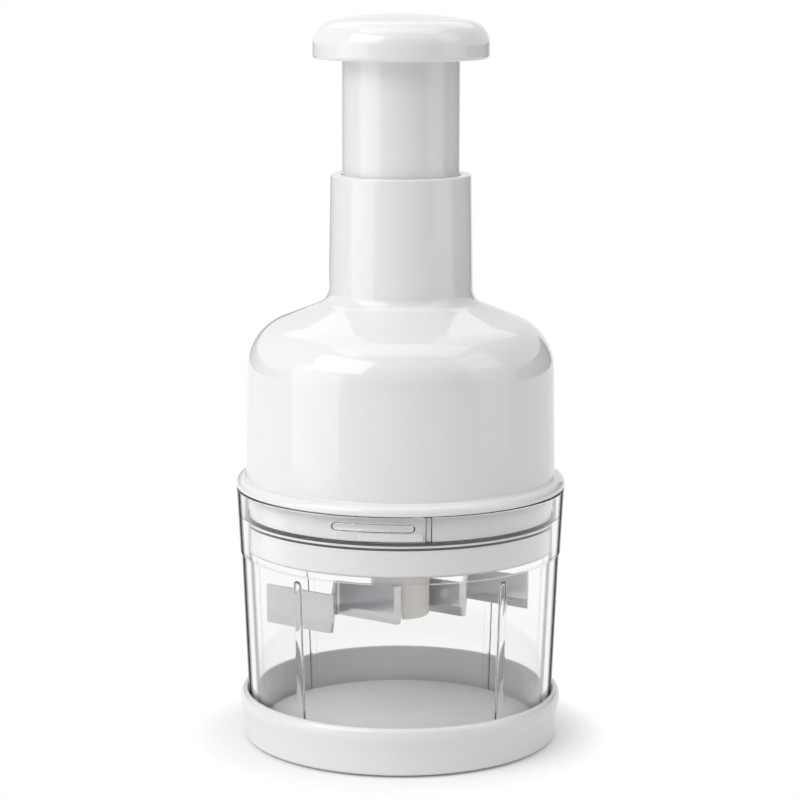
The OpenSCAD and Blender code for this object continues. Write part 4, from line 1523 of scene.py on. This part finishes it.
PANELS = (
    Softbox("left_low", -64.0, 8.5, 0.48, 0.36, 0.36, 1.25),
    Softbox("left_high", -52.0, 38.0, 0.9, 0.65, 0.45, 3.3),
    Softbox("right_strip", 71.0, 12.6, 0.48, 0.235, 0.42, 0.45),
    Softbox("right_panel", 70.0, 38.0, 0.9, 0.45, 0.45, 1.15),
    Softbox("top_panel", 0.0, 82.0, 0.9, 1.1, 0.45, 1.7),
    Card("back_card", 180.0, 58.5, 0.9, 1.1, 0.8, 1.8),
    Card("left_card", -132.0, 1.2, 0.48, 0.82, 0.1, 0.3),
    Card("knob_card", -132.0, 2.4, 1.2, 2.0, 0.09, 0.35),
    Card("right_card", 122.0, 4.2, 0.48, 0.58, 0.15, 0.1),
    Card("front_card", 7.0, 10.0, 1.2, 2.4, 1.2, 0.35),
)


@dataclass
class Studio:
    """White studio: floor, world, panels and the camera. Lengths are in metres, turns in radians."""

    camera_place: tuple[float, float, float] = (-0.0002, -0.805036, 0.243008)
    camera_pitch: float = 0.170187
    camera_roll: float = 0.002
    camera_lens_mm: float = 120.593
    sensor_mm: float = 36.0
    nearest: float = 0.01
    farthest: float = 100.0
    fill: float = 0.35
    floor_r: float = 4.0
    floor_steps: int = 96
    floor_color: Rgb = (0.93, 0.93, 0.93)
    shadow_from: float = 0.044
    shadow_to: float = 0.064
    target: tuple[float, float, float] = (0.0, 0.0, 0.11)

    def build(self) -> None:
        """Sets up everything round the chopper."""
        self.camera()
        self.world()
        self.floor()
        for panel in PANELS:
            panel.hang(Vector(self.target))
        bpy.context.scene.view_settings.view_transform = "Standard"

    def camera(self) -> None:
        """Places the camera where the picture was taken from."""
        camera = bpy.data.cameras.new("camera")
        camera.lens = self.camera_lens_mm
        camera.sensor_width = self.sensor_mm
        camera.sensor_fit = "HORIZONTAL"
        camera.clip_start = self.nearest
        camera.clip_end = self.farthest
        holder = bpy.data.objects.new("camera", camera)
        holder.location = self.camera_place
        holder.rotation_euler = (math.pi / 2 - self.camera_pitch, 0.0, 0.0)
        holder.rotation_euler.rotate_axis("Z", self.camera_roll)
        bpy.context.scene.collection.objects.link(holder)
        bpy.context.scene.camera = holder

    def seen(self, wiring: Wiring) -> NodeSocket:
        """One for rays that show a background: from the camera, off gloss and through glass."""
        rays = wiring.put("ShaderNodeLightPath").outputs
        direct = wiring.math("MAXIMUM", rays["Is Camera Ray"], rays["Is Glossy Ray"])
        return wiring.math("MAXIMUM", direct, rays["Is Transmission Ray"])

    def world(self) -> None:
        """White where it is seen, and a plain fill light elsewhere."""
        world = bpy.data.worlds.new("white_studio")
        world.use_nodes = True
        world.node_tree.nodes.clear()
        wiring = Wiring(world.node_tree)
        fill = wiring.put("ShaderNodeBackground", {"Color": WHITE_LIGHT, "Strength": self.fill})
        shown = wiring.put("ShaderNodeBackground", {"Color": WHITE_LIGHT, "Strength": 1.0})
        mixed = wiring.blend(self.seen(wiring), fill, shown)
        wiring.put("ShaderNodeOutputWorld", {"Surface": mixed.outputs[0]})
        bpy.context.scene.world = world

    def floor(self) -> None:
        """Round floor that holds the shadow near the chopper and fades to white."""
        turns = [2 * math.pi * i / self.floor_steps for i in range(self.floor_steps)]
        mesh = bpy.data.meshes.new("floor")
        rim = [(self.floor_r * math.cos(turn), self.floor_r * math.sin(turn), 0.0) for turn in turns]
        mesh.from_pydata(rim, [], [tuple(range(self.floor_steps))])
        floor = new_object("floor", mesh)
        material, wiring = blank_material("floor_paint")
        inputs = {0: wiring.object_place()}
        away = wiring.put("ShaderNodeVectorMath", inputs, operation="LENGTH").outputs["Value"]
        far = wiring.ramp(away, self.shadow_from, self.shadow_to, 0.0, 1.0)
        share = wiring.math("MULTIPLY", far, self.seen(wiring))
        matt = wiring.put("ShaderNodeBsdfDiffuse", {"Color": (*self.floor_color, 1.0)})
        white = wiring.put("ShaderNodeEmission", {"Color": WHITE_LIGHT, "Strength": 1.0})
        mixed = wiring.blend(share, matt, white)
        wiring.put("ShaderNodeOutputMaterial", {"Surface": mixed.outputs[0]})
        paint(floor, material)


def main() -> None:
    """Builds the chopper and its studio in order."""
    logging.basicConfig(level=logging.INFO, format="%(message)s")
    shop = Workshop()
    shop.mix_finishes()
    shop.dress_nodes()
    for assembly in (BaseCap, ClearBowl, Housing, BowlSeal, ReturnSpring, Knob, Blade):
        log.info("building %s", assembly.__name__)
        assembly(shop).build()
    Studio().build()


if __name__ == "__main__":
    main()
